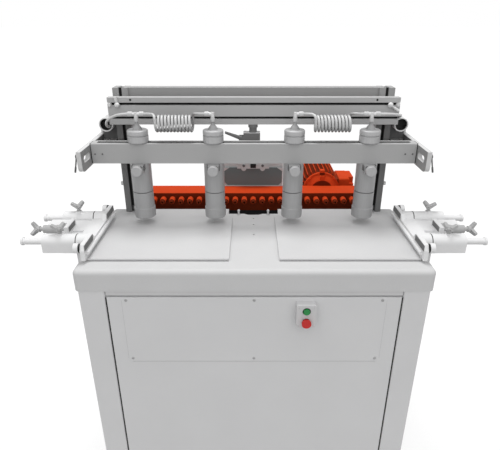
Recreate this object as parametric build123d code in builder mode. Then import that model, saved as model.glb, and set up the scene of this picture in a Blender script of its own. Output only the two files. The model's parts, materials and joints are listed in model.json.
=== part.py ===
"""Multi-spindle boring machine: a floor-standing line borer with a tilting head of geared spindles.

Millimetres, +Z up. X runs along the spindle row, the operator stands at -Y, the floor is Z = 0.
"""

from build123d import *
import math
import os

os.makedirs("parts", exist_ok=True)

# Spindle row
SPINDLE_COUNT = 23
SPINDLE_PITCH = 32.0
MOTOR_SPINDLE = 20
GEAR_TEETH = 16
GEAR_TIP_R = 17.4
GEAR_ROOT_R = 14.0
GEAR_TIP_HALF_DEG = 2.6
GEAR_ROOT_HALF_DEG = 6.4

# Fits, and how far joined forms run into each other
RUNNING = 0.05
SLIDING = 0.4
FLOAT = 0.5
STEP = 1.0
LAP = 2.0

# Heights over the floor
WORK_Z = 900.0
PAD_RISE = 8.0
TABLE_THICK = 63.5
TABLE_TOP = WORK_Z - PAD_RISE
TABLE_BOTTOM = TABLE_TOP - TABLE_THICK
TABLE_SKIN = 14.0
BASE_Z = 40.0
SPINDLE_Z = WORK_Z + 11.2

# Base frame and front
FRONT_Y = -390.0
PEDESTAL_X = (408.0, 481.0)
PEDESTAL_REAR = 191.0
PEDESTAL_CORNER_R = 5.0
SHEET = 3.0
GROOVE = 2.0
TIE = 50.0
TIE_INSET = 10.0
FOOT_PLATE_LONG = 67.0
FOOT_PLATE_T = 8.0
FOOT_R = 28.0
FOOT_INSET = 36.0
FOOT_RIM = 6.0
FOOT_CONE = 15.0
FOOT_STEM_R = 9.0
FLANGE_DEEP = 90.0
TOP_FLANGE = 25.0
TAB_DEEP = 30.0
ACCESS_HALF = 364.0
ACCESS_Z = (WORK_Z - 310.0, WORK_Z - 92.5)
ACCESS_THICK = 2.0
ACCESS_CORNER_R = 6.0

# Worktable
TABLE_HALF = 490.0
TABLE_Y = (-392.0, 41.0)
TABLE_CORNER_R = 16.0
BULLNOSE_R = 14.0
RIM = 28.0
REAR_WALL = 12.0
REAR_EDGE_Z = WORK_Z - 57.0
LIP_Z = WORK_Z - 86.0
LIP_INSET = 3.0
LIP_THICK = 12.0
LIP_GAP = 5.0
PAD_IN = 70.0
PAD_Y = (-337.0, -36.0)
PAD_UNDERCUT = 5.0
PAD_PLATE = 5.0
NOTCH_HALF = 85.0
NOTCH_Y = 2.0
NOTCH_STEP = 1.5
NOTCH_STEP_WIDE = 12.0
NOTCH_ARC_R = 46.0
STOP_PIN_X = 50.0
STOP_PIN_Y = -8.0
STOP_PIN_R = 3.0
STOP_PIN_HEAD_R = 4.5
STOP_PIN_HEAD = 7.0
STOP_PIN_TOP = TABLE_TOP + 18.0
CENTRE_HOLES_Y = (-40.0, -90.0, -164.0)
CENTRE_HOLE_R = 3.5
CENTRE_HOLE_DEEP = 10.0

# Gantry
COLUMN_X = (390.0, 438.0)
COLUMN_Y = (16.0, 64.0)
COLUMN_BORE_R = 7.0
SLOT_W = 10.0
SLOT_LIP = 7.0
SLOT_T_W = 20.0
SLOT_T_DEEP = 5.6
TIE_BEAM_Y = (23.0, 59.0)
TIE_BEAM_Z = (WORK_Z + 367.0, WORK_Z + 407.0)
RAIL_HALF = 445.0
RAIL_Y = (-29.0, -5.0)
RAIL_Z = (WORK_Z + 303.5, WORK_Z + 385.0)
RAIL_UPPER_SLOT = (WORK_Z + 362.0, WORK_Z + 370.0)
RAIL_LOWER_SLOT = (WORK_Z + 320.5, WORK_Z + 328.0)
RAIL_SLOT_DEEP = 14.0
RAIL_BLOCK_INSET = 8.0
RAIL_BLOCK_DROP = 4.0

# Clamp levers of the rail
LEVER_X = 414.0
LEVER_Z = WORK_Z + 364.0
LEVER_STUD_R = 5.0
LEVER_BALL_R = 8.0
LEVER_OFF = 7.0
LEVER_R = 3.0
LEVER_GRIP_R = 4.6
LEVER_GRIP_FROM = 0.45
LEVER_TIPS = {-1: (-3.0, 24.0), 1: (26.0, -18.0)}

# Hold-down bridge
BEAM_HALF = 489.0
BEAM_Y = (-109.0, -73.0)
BEAM_Z = (WORK_Z + 203.0, WORK_Z + 264.5)
BEAM_BAR = 8.0
BEAM_END = 19.0
BEAM_EDGE_R = 4.0
SPIGOT = 3.0
SPIGOT_INSET = 5.0
ARM_THICK = 14.0
ARM_Y = (-190.0, 77.0)
ARM_Z = (WORK_Z + 199.0, WORK_Z + 260.0)
ARM_NOSE_R = 16.0
ARM_SLOT_Y = (-172.0, -116.0)
ARM_SLOT_Z = WORK_Z + 232.0
ARM_SLOT_H = 20.0
SLEEVE_Z = (WORK_Z + 185.0, WORK_Z + 240.0)
SLEEVE_SIDE = 8.0
SLEEVE_FRONT = 12.0
SLEEVE_RIB = 10.0
CONDUIT_X = 468.0
CONDUIT_Y = (7.0, 107.0)
CONDUIT_Z = WORK_Z + 295.0
CONDUIT_R = 22.0
CONDUIT_WALL = 3.5
CONDUIT_DEEP = 24.0
BRACE_Y = (43.0, 73.0)

# Hold-down cylinders
PRESSER_X = (-346.5, -121.5, 121.5, 346.5)
PRESSER_Y = -91.0
PRESSER_R = 31.0
PRESSER_SPLIT_Z = WORK_Z + 112.0
PRESSER_SPLIT = 2.0
SKIRT_R = 32.8
SKIRT_Z = WORK_Z + 57.0
PRESSER_FOOT_Z = WORK_Z + 25.5
FOOT_EDGE = 2.0
PLUNGER_R = 15.0
PLUNGER_TOP = BEAM_Z[0] - 16.0
BARREL_TOP = BEAM_Z[0] - 8.0
NECK_HALF = 9.0
CAP_EDGE = 2.5
CAP_SEAM = 20.0
CAP_H = 39.0
BELL_R = (17.0, 13.5, 8.0)
BELL_STEP = 4.5
STEM_R = 4.5
KNOB_R = 16.0
KNOB_Z = WORK_Z + 191.0
KNOB_LUG = 14.0
KNOB_LUG_HALF = 12.0
KNOB_STEM = 8.0
KNOB_STEM_R = 6.0
KNOB_THICK = 12.0

# Air fittings and hoses
FITTING_Z = WORK_Z + 348.0
FITTING_REACH = 24.0
FITTING_BODY_R = 5.5
FITTING_HEAD = 5.0
FITTING_FOOT = 10.0
COLLAR_R = 5.8
COLLAR_LONG = 14.0
HOSE_R = 4.0
COIL_R = 21.75
COIL_Z = WORK_Z + 319.7
COIL_PITCH = 10.1
COIL_TURNS = 10.5
COIL_LEAD = 34.5
COIL_STRAIGHT = 17.0
COIL_TAIL = 8.8
LEAD_STRAIGHT = 29.5
LEAD_TURN = (-16.0, -55.0, 23.0)
LEAD_MOUTH = (-10.0, -17.0, -8.0)

# Side fences on the table's ends
FENCE_IN = TABLE_HALF - 29.0
FENCE_PLATE = 12.0
FENCE_Y = (-351.0, -46.0)
FENCE_LOW = WORK_Z + 29.0
FENCE_EAR = WORK_Z + 45.0
EAR_LONG = 82.0
EAR_SLOPE = 12.0
EAR_CORNER = 10.0
EAR_DROP = 15.0
EAR_ROUND_R = 8.0
FENCE_SEAM = TABLE_HALF + 14.0
FENCE_BAR_R = 5.0
FENCE_BAR_OFF = 4.0
FENCE_BAR_Z = WORK_Z + 18.0
FENCE_KNOB_Z = WORK_Z + 33.0
FENCE_KNOB_R = 14.0
FENCE_KNOB_T = 13.0
FENCE_KNOB_STEM = 5.0
FENCE_KNOB_STEM_R = 6.0
FENCE_KNOB_INSET = 13.0
ROD_Y = (-271.0, -104.0)
ROD_Z = WORK_Z + 21.0
ROD_R = 9.4
ROD_RING = 2.1
ROD_RING_LONG = 6.0

# Brackets of the side fences
BRACKET_X = (FENCE_SEAM + 1.5, FENCE_SEAM + 98.0)
BOSS_R = 22.0
BOSS_BOX_Z = WORK_Z - 6.0
ROD_TIP = BRACKET_X[1] + 65.0
WEB_Z = (WORK_Z + 4.0, WORK_Z + 18.0)
WEB_INSET = 8.0
RIB_LONG = 69.5
RIB_Y = (-237.0, -123.0)
RIB_Z = WORK_Z - 36.0
PLATE_Y = (-269.0, -109.0)
PLATE_T = 10.0
PLATE_FOOT = 20.0
SEAT_R = 9.0
SEAT_RISE = 3.0
LUG_X = (TABLE_HALF + 54.0, TABLE_HALF + 66.0)
LUG_Y = (-235.0, -169.0)
TONGUE_Y = (-205.0, -130.0)
TONGUE_T = 6.0
STOP_ARM_X = (LUG_X[1] + STEP, LUG_X[1] + 59.0)
STOP_ARM_Y = (-190.0, -164.0)
STOP_ARM_Z = WORK_Z + 42.0
STOP_Y = -222.0
STOP_Z = WORK_Z + 37.0
STOP_R = 6.0
STOP_LUG_RISE = 10.0

# Hand screws of the brackets
WING_X = TABLE_HALF + 64.0
WING_REACH = 20.0
WING_RISE_DEG = 32.0
WING_ROOT = 17.0
WING_W = 11.0
WING_T = 8.0
WING_HUB_R = 10.0
WING_HUB = 14.0
WING_STUD = 10.0
WING_STUD_R = 5.0
BARREL_X = (LUG_X[1] + 23.0, LUG_X[1] + 63.0)
BARREL_R = 12.0
STOP_NUT_R = 13.0
STOP_NUT = 8.0
STOP_HUB_R = 9.0
STOP_HUB_X = (LUG_X[1] + 74.0, LUG_X[1] + 88.0)

# Boring head
HEAD_END = 28.0
HEAD_Y = (91.0, 157.0)
COVER_Y = (157.0, 169.0)
HEAD_Z = (WORK_Z - 33.0, WORK_Z + 33.0)
SHAFT_R = 6.0
SHAFT_ROOM = 1.0
BEARING_R = 13.0
BEARING_W = 8.0
REAR_BEARING_W = 6.0
FRONT_BEARING_Y = 99.0
REAR_BEARING_Y = 164.0
BEARING_SEAT = 12.0
GEAR_Y = (119.0, 135.0)
NOSE_R = 10.0
NOSE_EDGE = 1.5
NOSE_Y = (65.0, 89.5)
TIP_Y = 53.0
TIP_R = 6.0
TIP_EDGE = 1.0
SHANK_R = 4.0
SHANK_DEEP = 24.0
GEAR_ROOM = 0.6
SUMP = 13.0

# Motor
BELL_SMALL_R = 43.0
MOTOR_FLANGE_R = 60.0
MOTOR_R = 68.0
MOTOR_Y = (179.0, 361.0)
MOTOR_EYE_HALF = 9.0
MOTOR_EYE_Z = (SPINDLE_Z + 34.0, SPINDLE_Z + 58.0)
STATOR_R = 46.0
STATOR_Y = (MOTOR_Y[0] + 12.0, MOTOR_Y[1] - 10.0)
MOTOR_SHAFT_R = 9.5
FIN_TIP_R = 78.0
FIN_T = 2.6
FIN_STEP_DEG = 12
FIN_ARC_DEG = (36, 330)
FIN_SET = 12.0
COWL_R = 74.0
COWL_REAR = 429.0
COWL_EDGE_R = 12.0
COWL_FACE = 14.0
COWL_RING = 16.0
GRILLE_ROWS = 3
GRILLE_PITCH = 13.0
GRILLE_SLOT = 6.0
GRILLE_RIM = 20.0
BOX_X = (324.0, 362.0, 381.0)
BOX_Y = (201.0, 305.0)
BOX_Z = (WORK_Z - 15.0, WORK_Z + 50.0)
BOX_EDGE_R = 6.0
BOX_NECK_INSET = 4.0
BOX_NECK_START = 40.0
LID_Y = (220.0, 297.0)
LEDGE_Z = BOX_Z[1] - 22.0
GLAND_R = 11.0
GLAND_LONG = 14.0
TAIL_Y = 177.0
COUPLING_R = 13.0
COUPLING_Y = (171.0, 183.0)
COUPLING_ROOM = 3.0
ROTOR_Y = (201.0, 341.0)
FAN_Y = (376.0, 380.0)
FAN_R = 58.0
FAN_HUB_R = 18.0
FAN_HUB_REAR = 393.0
BLADE = (40.0, 16.0, 3.0)
BLADE_STEP_DEG = 60

# Tilting cradle and feed
PIVOT_Y = 18.0
PIVOT_Z = WORK_Z - 30.0
PIVOT_R = 12.0
CHEEK_X = (384.0, 394.0)
CHEEK_ROOM = 4.0
CHEEK_END_R = 18.0
CHEEK_WAIST = (8.0, 16.0)
CHEEK_SHOULDER = (71.0, WORK_Z - 46.0)
CHEEK_TAIL_Z = WORK_Z - 60.0
CHEEK_TOE_Y = 37.0
CHEEK_DROP = 8.0
CHEEK_SLOT = 5.0
BEARING_WALL = 46.0
CRADLE_BAR_Z = (WORK_Z - 104.0, WORK_Z - 72.0)
FRONT_BAR_Y = (33.0, 58.0)
REAR_BAR_Y = (327.0, 352.0)
GUIDE_X = 300.0
GUIDE_Z = WORK_Z - 88.0
GUIDE_R = 12.5
SADDLE_Z = (WORK_Z - 53.0, HEAD_Z[0])
SADDLE_OVER = 40.0
BUSH_HALF = 22.0
PUSH_LUG_Y = (115.0, 139.0)
PUSH_LUG_HALF = 20.0
UPRIGHT_HALF = 109.0
UPRIGHT_T = 12.0
UPRIGHT_TOP = WORK_Z + 112.0
STOP_BRACKET_HALF = 58.0
STOP_BRACKET_Z = (UPRIGHT_TOP - 8.0, UPRIGHT_TOP + 4.0)
STOP_BRACKET_REACH = 16.0
LOBE_X = 34.0
LOBE_R = 9.0
PANEL_LIP = 6.0
PANEL_HALF = 105.5
PANEL_CUT = 12.0
PANEL_T = 3.0
CYLINDER_R = 27.0
CYLINDER_Y = (191.0, REAR_BAR_Y[0])
CYLINDER_WALL = 5.0
CYLINDER_END = 14.0
CYLINDER_HEAD = 10.0
PISTON_ROD_R = 8.0
PISTON_Y = (271.0, 285.0)
ROD_COLLAR_R = 12.0
ROD_COLLAR = 12.0

# Controls
SWITCH_X = (115.0, 169.5)
SWITCH_Z = (WORK_Z - 172.0, WORK_Z - 101.0)
SWITCH_DEEP = 25.0
SWITCH_CORNER_R = 5.0
BUTTON_R = 9.0
BUTTON_APART = 17.0
BUTTON_WELL = 11.0
BUTTON_IN = 6.0
START_PROUD = 4.5
STOP_PROUD = 5.0
STOP_CAP = 7.0
STOP_CAP_R = 13.0
VALVE_X = (-32.0, 20.0)
VALVE_Y = (-33.0, -1.0)
VALVE_Z = (WORK_Z + 251.0, WORK_Z + 277.0)
VALVE_PIVOT = (-40.0, WORK_Z + 258.0)
VALVE_STEM_R = 12.0
VALVE_STEM_OFF = 4.0
VALVE_COLLAR_R = 15.0
VALVE_COLLAR = 10.0
VALVE_EAR = 7.0
VALVE_PIN_R = 3.0
LEVER_HUB_R = 6.0
LEVER_BLADE = ((1.0, -5.5), (-50.0, 16.0), (-50.0, 20.0), (-2.0, 5.5))


def mid(span):
    """Middle of a (low, high) span."""
    return (span[0] + span[1]) / 2


def size(span):
    """Length of a (low, high) span."""
    return span[1] - span[0]


def inset(span, amount):
    """A span drawn in by an amount at both ends."""
    return (span[0] + amount, span[1] - amount)


def about(middle, half):
    """A span of a half width to each side of a place."""
    return (middle - half, middle + half)


def sided(side, span):
    """A span of distances from the middle plane, on the left (-1) or the right (1)."""
    return tuple(sorted((side * span[0], side * span[1])))


def span_from(start, first, second):
    """The span between two distances from a starting place."""
    return tuple(sorted((start + first, start + second)))


def block(x, y, z, mode=Mode.ADD):
    """A box between limits on each axis."""
    with Locations((mid(x), mid(y), mid(z))):
        Box(size(x), size(y), size(z), mode=mode)


def bar_x(radius, x, y, z, mode=Mode.ADD):
    """A round bar along X."""
    with Locations((mid(x), y, z)):
        Cylinder(radius, size(x), rotation=(0, 90, 0), mode=mode)


def bar_y(radius, x, y, z, mode=Mode.ADD):
    """A round bar along Y."""
    with Locations((x, mid(y), z)):
        Cylinder(radius, size(y), rotation=(90, 0, 0), mode=mode)


def bar_z(radius, x, y, z, mode=Mode.ADD):
    """A round bar along Z."""
    with Locations((x, y, mid(z))):
        Cylinder(radius, size(z), mode=mode)


def turned_y(outline, x, z, mode=Mode.ADD):
    """A turned shape about an axis along Y, from (y, radius) points."""
    with BuildSketch(Plane(origin=(x, 0, z), x_dir=(0, 1, 0), z_dir=(1, 0, 0))) as face:
        Polygon(*outline, align=None)
    revolve(face.sketch, axis=Axis((x, 0, z), (0, 1, 0)), mode=mode)


def turned_z(outline, x, y, mode=Mode.ADD):
    """A turned shape about an upright axis, from (radius, z) points."""
    with BuildSketch(Plane(origin=(x, y, 0), x_dir=(1, 0, 0), z_dir=(0, -1, 0))) as face:
        Polygon(*outline, align=None)
    revolve(face.sketch, axis=Axis((x, y, 0), (0, 0, 1)), mode=mode)


def strut(start, end, radius):
    """A round bar between two points."""
    run = Vector(*end) - Vector(*start)
    with BuildSketch(Plane(origin=start, z_dir=run)) as face:
        Circle(radius)
    extrude(face.sketch, amount=run.length)


def wing(origin, axis, across):
    """Three raised wings round a hub, the head of a hand screw."""
    along = Vector(*axis)
    first = Vector(*across)
    second = along.cross(first)
    rise = math.radians(WING_RISE_DEG)
    for turn in (0, 120, 240):
        out = first * math.cos(math.radians(turn)) + second * math.sin(math.radians(turn))
        reach_dir = out * math.cos(rise) + along * math.sin(rise)
        face_dir = along * math.cos(rise) - out * math.sin(rise)
        with BuildSketch(Plane(origin=origin, x_dir=reach_dir, z_dir=face_dir)) as face:
            with Locations((WING_REACH, 0)):
                Circle(WING_W / 2)
            Polygon(
                (0, -WING_ROOT / 2),
                (WING_REACH, -WING_W / 2),
                (WING_REACH, WING_W / 2),
                (0, WING_ROOT / 2),
                align=None,
            )
        extrude(face.sketch, amount=WING_T / 2, both=True)


def save(builder, name):
    """Name a finished piece and write it out."""
    builder.part.label = name
    export_step(builder.part, f"parts/{name}.step")


spindle_x = [(i - (SPINDLE_COUNT - 1) / 2) * SPINDLE_PITCH for i in range(SPINDLE_COUNT)]
motor_x = spindle_x[MOTOR_SPINDLE - 1]
head_half = spindle_x[-1] + HEAD_END

# Welded base: two hollow side pedestals joined by ties low down
pedestal_y = (FRONT_Y, PEDESTAL_REAR)
with BuildPart() as base_frame:
    with BuildSketch(Plane.XY.offset(BASE_Z)):
        for side in (-1, 1):
            with Locations((side * mid(PEDESTAL_X), mid(pedestal_y))):
                RectangleRounded(size(PEDESTAL_X), size(pedestal_y), PEDESTAL_CORNER_R)
    extrude(amount=TABLE_BOTTOM - BASE_Z)
    for side in (-1, 1):
        inside_x = sided(side, inset(PEDESTAL_X, SHEET))
        inside_y = inset(pedestal_y, SHEET)
        block(inside_x, inside_y, (BASE_Z, TABLE_BOTTOM - SHEET), Mode.SUBTRACT)
        for start, way in ((inside_y[0], 1), (inside_y[1], -1)):
            block(inside_x, span_from(start, 0, way * FOOT_PLATE_LONG), (BASE_Z, BASE_Z + FOOT_PLATE_T))
    for tie_y in (FRONT_Y + SHEET, PEDESTAL_REAR - TIE - TIE_INSET):
        tie_half = PEDESTAL_X[0] + SHEET / 2
        block((-tie_half, tie_half), (tie_y, tie_y + TIE), (BASE_Z, BASE_Z + TIE))
save(base_frame, "base_frame")

# Screw feet under the four corners
with BuildPart() as levelling_feet:
    for foot_x in (-mid(PEDESTAL_X), mid(PEDESTAL_X)):
        for foot_y in inset(pedestal_y, FOOT_INSET):
            turned_z(
                [
                    (0, 0),
                    (FOOT_R, 0),
                    (FOOT_R, FOOT_RIM),
                    (FOOT_STEM_R, FOOT_CONE),
                    (FOOT_STEM_R, BASE_Z),
                    (0, BASE_Z),
                ],
                foot_x,
                foot_y,
            )
save(levelling_feet, "levelling_feet")

# Sheet front between the pedestals, set off by a groove on each side and a gap on top
front_half = PEDESTAL_X[0] - GROOVE
front_top = LIP_Z - LIP_GAP
with BuildPart() as front_panel:
    block((-front_half, front_half), (FRONT_Y, FRONT_Y + SHEET), (BASE_Z, front_top))
    block((-front_half, front_half), (FRONT_Y, FRONT_Y + TOP_FLANGE), (front_top - SHEET, front_top))
    for side in (-1, 1):
        flange_z = (BASE_Z + TIE, front_top)
        block(sided(side, (front_half - SHEET, front_half)), (FRONT_Y, FRONT_Y + FLANGE_DEEP), flange_z)
        block(
            sided(side, (front_half - SHEET, PEDESTAL_X[0])),
            (FRONT_Y + FLANGE_DEEP - TAB_DEEP, FRONT_Y + FLANGE_DEEP),
            flange_z,
        )
save(front_panel, "front_panel")

# Screwed-on access panel
with BuildPart() as access_panel:
    with BuildSketch(Plane.XZ.offset(-FRONT_Y)):
        with Locations((0, mid(ACCESS_Z))):
            RectangleRounded(2 * ACCESS_HALF, size(ACCESS_Z), ACCESS_CORNER_R)
    extrude(amount=ACCESS_THICK)
save(access_panel, "access_panel")

# Cast worktable: rounded edge, two raised work pads, hollow underside, bearings for the cradle
hollow_half = CHEEK_X[1] + CHEEK_ROOM
hollow_z = (TABLE_BOTTOM, TABLE_TOP - TABLE_SKIN)
rear_seat = (hollow_half, COLUMN_X[1] + SLEEVE_SIDE)
seat_rear = COLUMN_Y[1] + SHEET
with BuildPart() as worktable:
    with BuildSketch(Plane.XY.offset(TABLE_BOTTOM)) as table_outline:
        with Locations((0, mid(TABLE_Y))):
            Rectangle(2 * TABLE_HALF, size(TABLE_Y))
        fillet(table_outline.vertices().group_by(Axis.Y)[0], TABLE_CORNER_R)
    extrude(amount=TABLE_THICK)
    top_rim = worktable.faces().sort_by(Axis.Z)[-1].edges().sort_by(Axis.Y)[:-1]
    fillet(top_rim, BULLNOSE_R)
    lip_front = TABLE_Y[0] + LIP_INSET
    block((-front_half, front_half), (lip_front, lip_front + LIP_THICK), (LIP_Z, TABLE_BOTTOM))
    for side in (-1, 1):
        pad_x = (PAD_IN, FENCE_IN)
        block(sided(side, rear_seat), (TABLE_Y[1] - LAP, seat_rear), (TABLE_BOTTOM, TABLE_TOP))
        block(sided(side, inset(pad_x, PAD_UNDERCUT)), inset(PAD_Y, PAD_UNDERCUT), (TABLE_TOP, WORK_Z))
        block(sided(side, pad_x), PAD_Y, (WORK_Z - PAD_PLATE, WORK_Z))
    block((-hollow_half, hollow_half), (TABLE_Y[0] + RIM, TABLE_Y[1] - REAR_WALL), hollow_z, Mode.SUBTRACT)
    block(
        (-hollow_half, hollow_half),
        (TABLE_Y[1] - REAR_WALL, TABLE_Y[1]),
        (TABLE_BOTTOM, REAR_EDGE_Z),
        Mode.SUBTRACT,
    )
    notch_x = (-NOTCH_HALF, NOTCH_HALF)
    block(notch_x, (NOTCH_Y, TABLE_Y[1]), (TABLE_BOTTOM, TABLE_TOP), Mode.SUBTRACT)
    block(notch_x, (NOTCH_Y - NOTCH_STEP_WIDE, NOTCH_Y), (TABLE_TOP - NOTCH_STEP, TABLE_TOP), Mode.SUBTRACT)
    bar_z(NOTCH_ARC_R, 0, NOTCH_Y - NOTCH_STEP_WIDE + NOTCH_ARC_R, (TABLE_BOTTOM, TABLE_TOP), Mode.SUBTRACT)
    for side in (-1, 1):
        block(
            sided(side, (hollow_half + TABLE_SKIN, TABLE_HALF - RIM)),
            (TABLE_Y[0] + RIM, PIVOT_Y - BEARING_WALL),
            hollow_z,
            Mode.SUBTRACT,
        )
        block(
            sided(side, (CHEEK_X[0] - LAP, hollow_half)),
            (PIVOT_Y - CHEEK_END_R - CHEEK_SLOT, seat_rear),
            (TABLE_BOTTOM, TABLE_TOP),
            Mode.SUBTRACT,
        )
        bar_x(PIVOT_R + RUNNING, sided(side, (CHEEK_X[1], COLUMN_X[1] + LAP)), PIVOT_Y, PIVOT_Z, Mode.SUBTRACT)
        turned_z(
            [
                (0, TABLE_TOP - NOTCH_STEP),
                (STOP_PIN_R, TABLE_TOP - NOTCH_STEP),
                (STOP_PIN_R, STOP_PIN_TOP - STOP_PIN_HEAD),
                (STOP_PIN_HEAD_R, STOP_PIN_TOP - STOP_PIN_HEAD + LAP),
                (STOP_PIN_HEAD_R, STOP_PIN_TOP - LAP),
                (STOP_PIN_R, STOP_PIN_TOP),
                (0, STOP_PIN_TOP),
            ],
            side * STOP_PIN_X,
            STOP_PIN_Y,
        )
    for hole_y in CENTRE_HOLES_Y:
        bar_z(CENTRE_HOLE_R, 0, hole_y, (TABLE_TOP - CENTRE_HOLE_DEEP, TABLE_TOP), Mode.SUBTRACT)
save(worktable, "worktable")

# Welded gantry: slotted columns on the rear corners of the table and the square tube that ties them
with BuildPart() as gantry_frame:
    with BuildSketch(Plane.XY.offset(TABLE_TOP)):
        for side in (-1, 1):
            column_x = side * mid(COLUMN_X)
            with Locations((column_x, mid(COLUMN_Y))):
                Rectangle(size(COLUMN_X), size(COLUMN_Y))
                Circle(COLUMN_BORE_R, mode=Mode.SUBTRACT)
            for face_y, way in ((COLUMN_Y[0], 1), (COLUMN_Y[1], -1)):
                with Locations((column_x, face_y + way * SLOT_LIP / 2)):
                    Rectangle(SLOT_W, SLOT_LIP, mode=Mode.SUBTRACT)
                with Locations((column_x, face_y + way * (SLOT_LIP + SLOT_T_DEEP / 2))):
                    Rectangle(SLOT_T_W, SLOT_T_DEEP, mode=Mode.SUBTRACT)
    extrude(amount=TIE_BEAM_Z[1] - TABLE_TOP)
    tie_x = (-COLUMN_X[0], COLUMN_X[0])
    block(tie_x, TIE_BEAM_Y, TIE_BEAM_Z)
    block(tie_x, inset(TIE_BEAM_Y, SHEET), inset(TIE_BEAM_Z, SHEET), Mode.SUBTRACT)
save(gantry_frame, "gantry_frame")

# Slotted rail across the front of the columns, on two mounting blocks
with BuildPart() as fence_rail:
    with BuildSketch(Plane.YZ.offset(-RAIL_HALF)):
        with Locations((mid(RAIL_Y), mid(RAIL_Z))):
            Rectangle(size(RAIL_Y), size(RAIL_Z))
        for slot in (RAIL_UPPER_SLOT, RAIL_LOWER_SLOT):
            with Locations((RAIL_Y[0] + RAIL_SLOT_DEEP / 2, mid(slot))):
                Rectangle(RAIL_SLOT_DEEP, size(slot), mode=Mode.SUBTRACT)
    extrude(amount=2 * RAIL_HALF)
    for side in (-1, 1):
        block(
            sided(side, inset(COLUMN_X, RAIL_BLOCK_INSET)),
            (RAIL_Y[1], COLUMN_Y[0]),
            (RAIL_LOWER_SLOT[1], RAIL_Z[1] - RAIL_BLOCK_DROP),
        )
save(fence_rail, "fence_rail")

# Cast brackets beside the table: two bored bosses, a web and an arm that holds the stop screw's barrel
with BuildPart() as side_brackets:
    for side in (-1, 1):
        for rod_y in ROD_Y:
            bar_x(BOSS_R, sided(side, BRACKET_X), rod_y, ROD_Z)
            block(sided(side, BRACKET_X), about(rod_y, BOSS_R), (BOSS_BOX_Z, ROD_Z))
            bar_z(SEAT_R, side * WING_X, rod_y, (ROD_Z, ROD_Z + BOSS_R + SEAT_RISE))
        block(sided(side, (BRACKET_X[0], BRACKET_X[1] - WEB_INSET)), ROD_Y, WEB_Z)
        block(sided(side, STOP_ARM_X), STOP_ARM_Y, (WEB_Z[0], STOP_ARM_Z))
        block(sided(side, (BARREL_X[0], STOP_ARM_X[1])), (STOP_Y, STOP_ARM_Y[1]), (WEB_Z[0], STOP_ARM_Z))
        block(sided(side, (BRACKET_X[0], BRACKET_X[0] + RIB_LONG)), RIB_Y, (RIB_Z, WEB_Z[1]))
        plate_z = TABLE_BOTTOM + LAP
        block(sided(side, (TABLE_HALF, BRACKET_X[0] + PLATE_T)), PLATE_Y, (plate_z, plate_z + PLATE_FOOT))
        block(sided(side, (BRACKET_X[0], BRACKET_X[0] + PLATE_T)), PLATE_Y, (plate_z, WEB_Z[1]))
        bar_x(BARREL_R + RUNNING, sided(side, BARREL_X), STOP_Y, STOP_Z, Mode.SUBTRACT)
        for rod_y in ROD_Y:
            bar_x(ROD_R + RUNNING, sided(side, BRACKET_X), rod_y, ROD_Z, Mode.SUBTRACT)
save(side_brackets, "side_brackets")


def side_fence(side):
    """A fence plate with raised ears on a casting with two guide rods and a tongue for the stop screw."""
    plate = sided(side, (FENCE_IN, FENCE_IN + FENCE_PLATE))
    casting = sided(side, (FENCE_IN + FENCE_PLATE - LAP, FENCE_SEAM))
    foot = WORK_Z + SLIDING
    outline = [
        (FENCE_Y[0], foot),
        (FENCE_Y[0], FENCE_EAR - EAR_DROP),
        (FENCE_Y[0] + EAR_CORNER, FENCE_EAR),
        (FENCE_Y[0] + EAR_LONG, FENCE_EAR),
        (FENCE_Y[0] + EAR_LONG + EAR_SLOPE, FENCE_LOW),
        (FENCE_Y[1] - EAR_LONG - EAR_SLOPE, FENCE_LOW),
        (FENCE_Y[1] - EAR_LONG, FENCE_EAR),
        (FENCE_Y[1] - EAR_CORNER, FENCE_EAR),
        (FENCE_Y[1], FENCE_EAR - EAR_DROP),
        (FENCE_Y[1], foot),
    ]
    with BuildPart() as fence:
        with BuildSketch(Plane.YZ.offset(plate[0])) as face:
            Polygon(*outline, align=None)
            fillet(face.vertices().group_by(Axis.Y)[0].sort_by(Axis.Z)[-1], EAR_ROUND_R)
        extrude(face.sketch, amount=FENCE_PLATE)
        for rod_y in ROD_Y:
            bar_x(BOSS_R, casting, rod_y, ROD_Z)
        block(casting, ROD_Y, (foot, FENCE_LOW))
        block(casting, span_from(ROD_Y[0], -BOSS_R, size(ROD_Y) + BOSS_R), (BOSS_BOX_Z, foot), Mode.SUBTRACT)
        for rod_y in ROD_Y:
            bar_x(ROD_R, sided(side, (FENCE_IN + FENCE_PLATE, ROD_TIP)), rod_y, ROD_Z)
            ring = sided(side, (ROD_TIP - ROD_RING_LONG - STEP, ROD_TIP - STEP))
            bar_x(ROD_R + ROD_RING, ring, rod_y, ROD_Z)
        tongue_low = WEB_Z[1] + SLIDING
        block(sided(side, (FENCE_SEAM - LAP, LUG_X[1])), TONGUE_Y, (tongue_low, tongue_low + TONGUE_T))
        block(sided(side, LUG_X), LUG_Y, (tongue_low, STOP_Z + STOP_LUG_RISE))
        bar_y(FENCE_BAR_R, side * (FENCE_IN - FENCE_BAR_OFF), inset(FENCE_Y, FENCE_KNOB_INSET), FENCE_BAR_Z)
        for screw_y in inset(FENCE_Y, FENCE_KNOB_INSET):
            back = FENCE_IN + FENCE_PLATE
            disc = (back + FENCE_KNOB_STEM, back + FENCE_KNOB_STEM + FENCE_KNOB_T)
            bar_x(FENCE_KNOB_STEM_R, sided(side, (back - LAP, disc[0])), screw_y, FENCE_KNOB_Z)
            bar_x(FENCE_KNOB_R, sided(side, disc), screw_y, FENCE_KNOB_Z)
    return fence


side_fence_left = side_fence(-1)
save(side_fence_left, "side_fence_left")
side_fence_right = side_fence(1)
save(side_fence_right, "side_fence_right")

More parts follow.
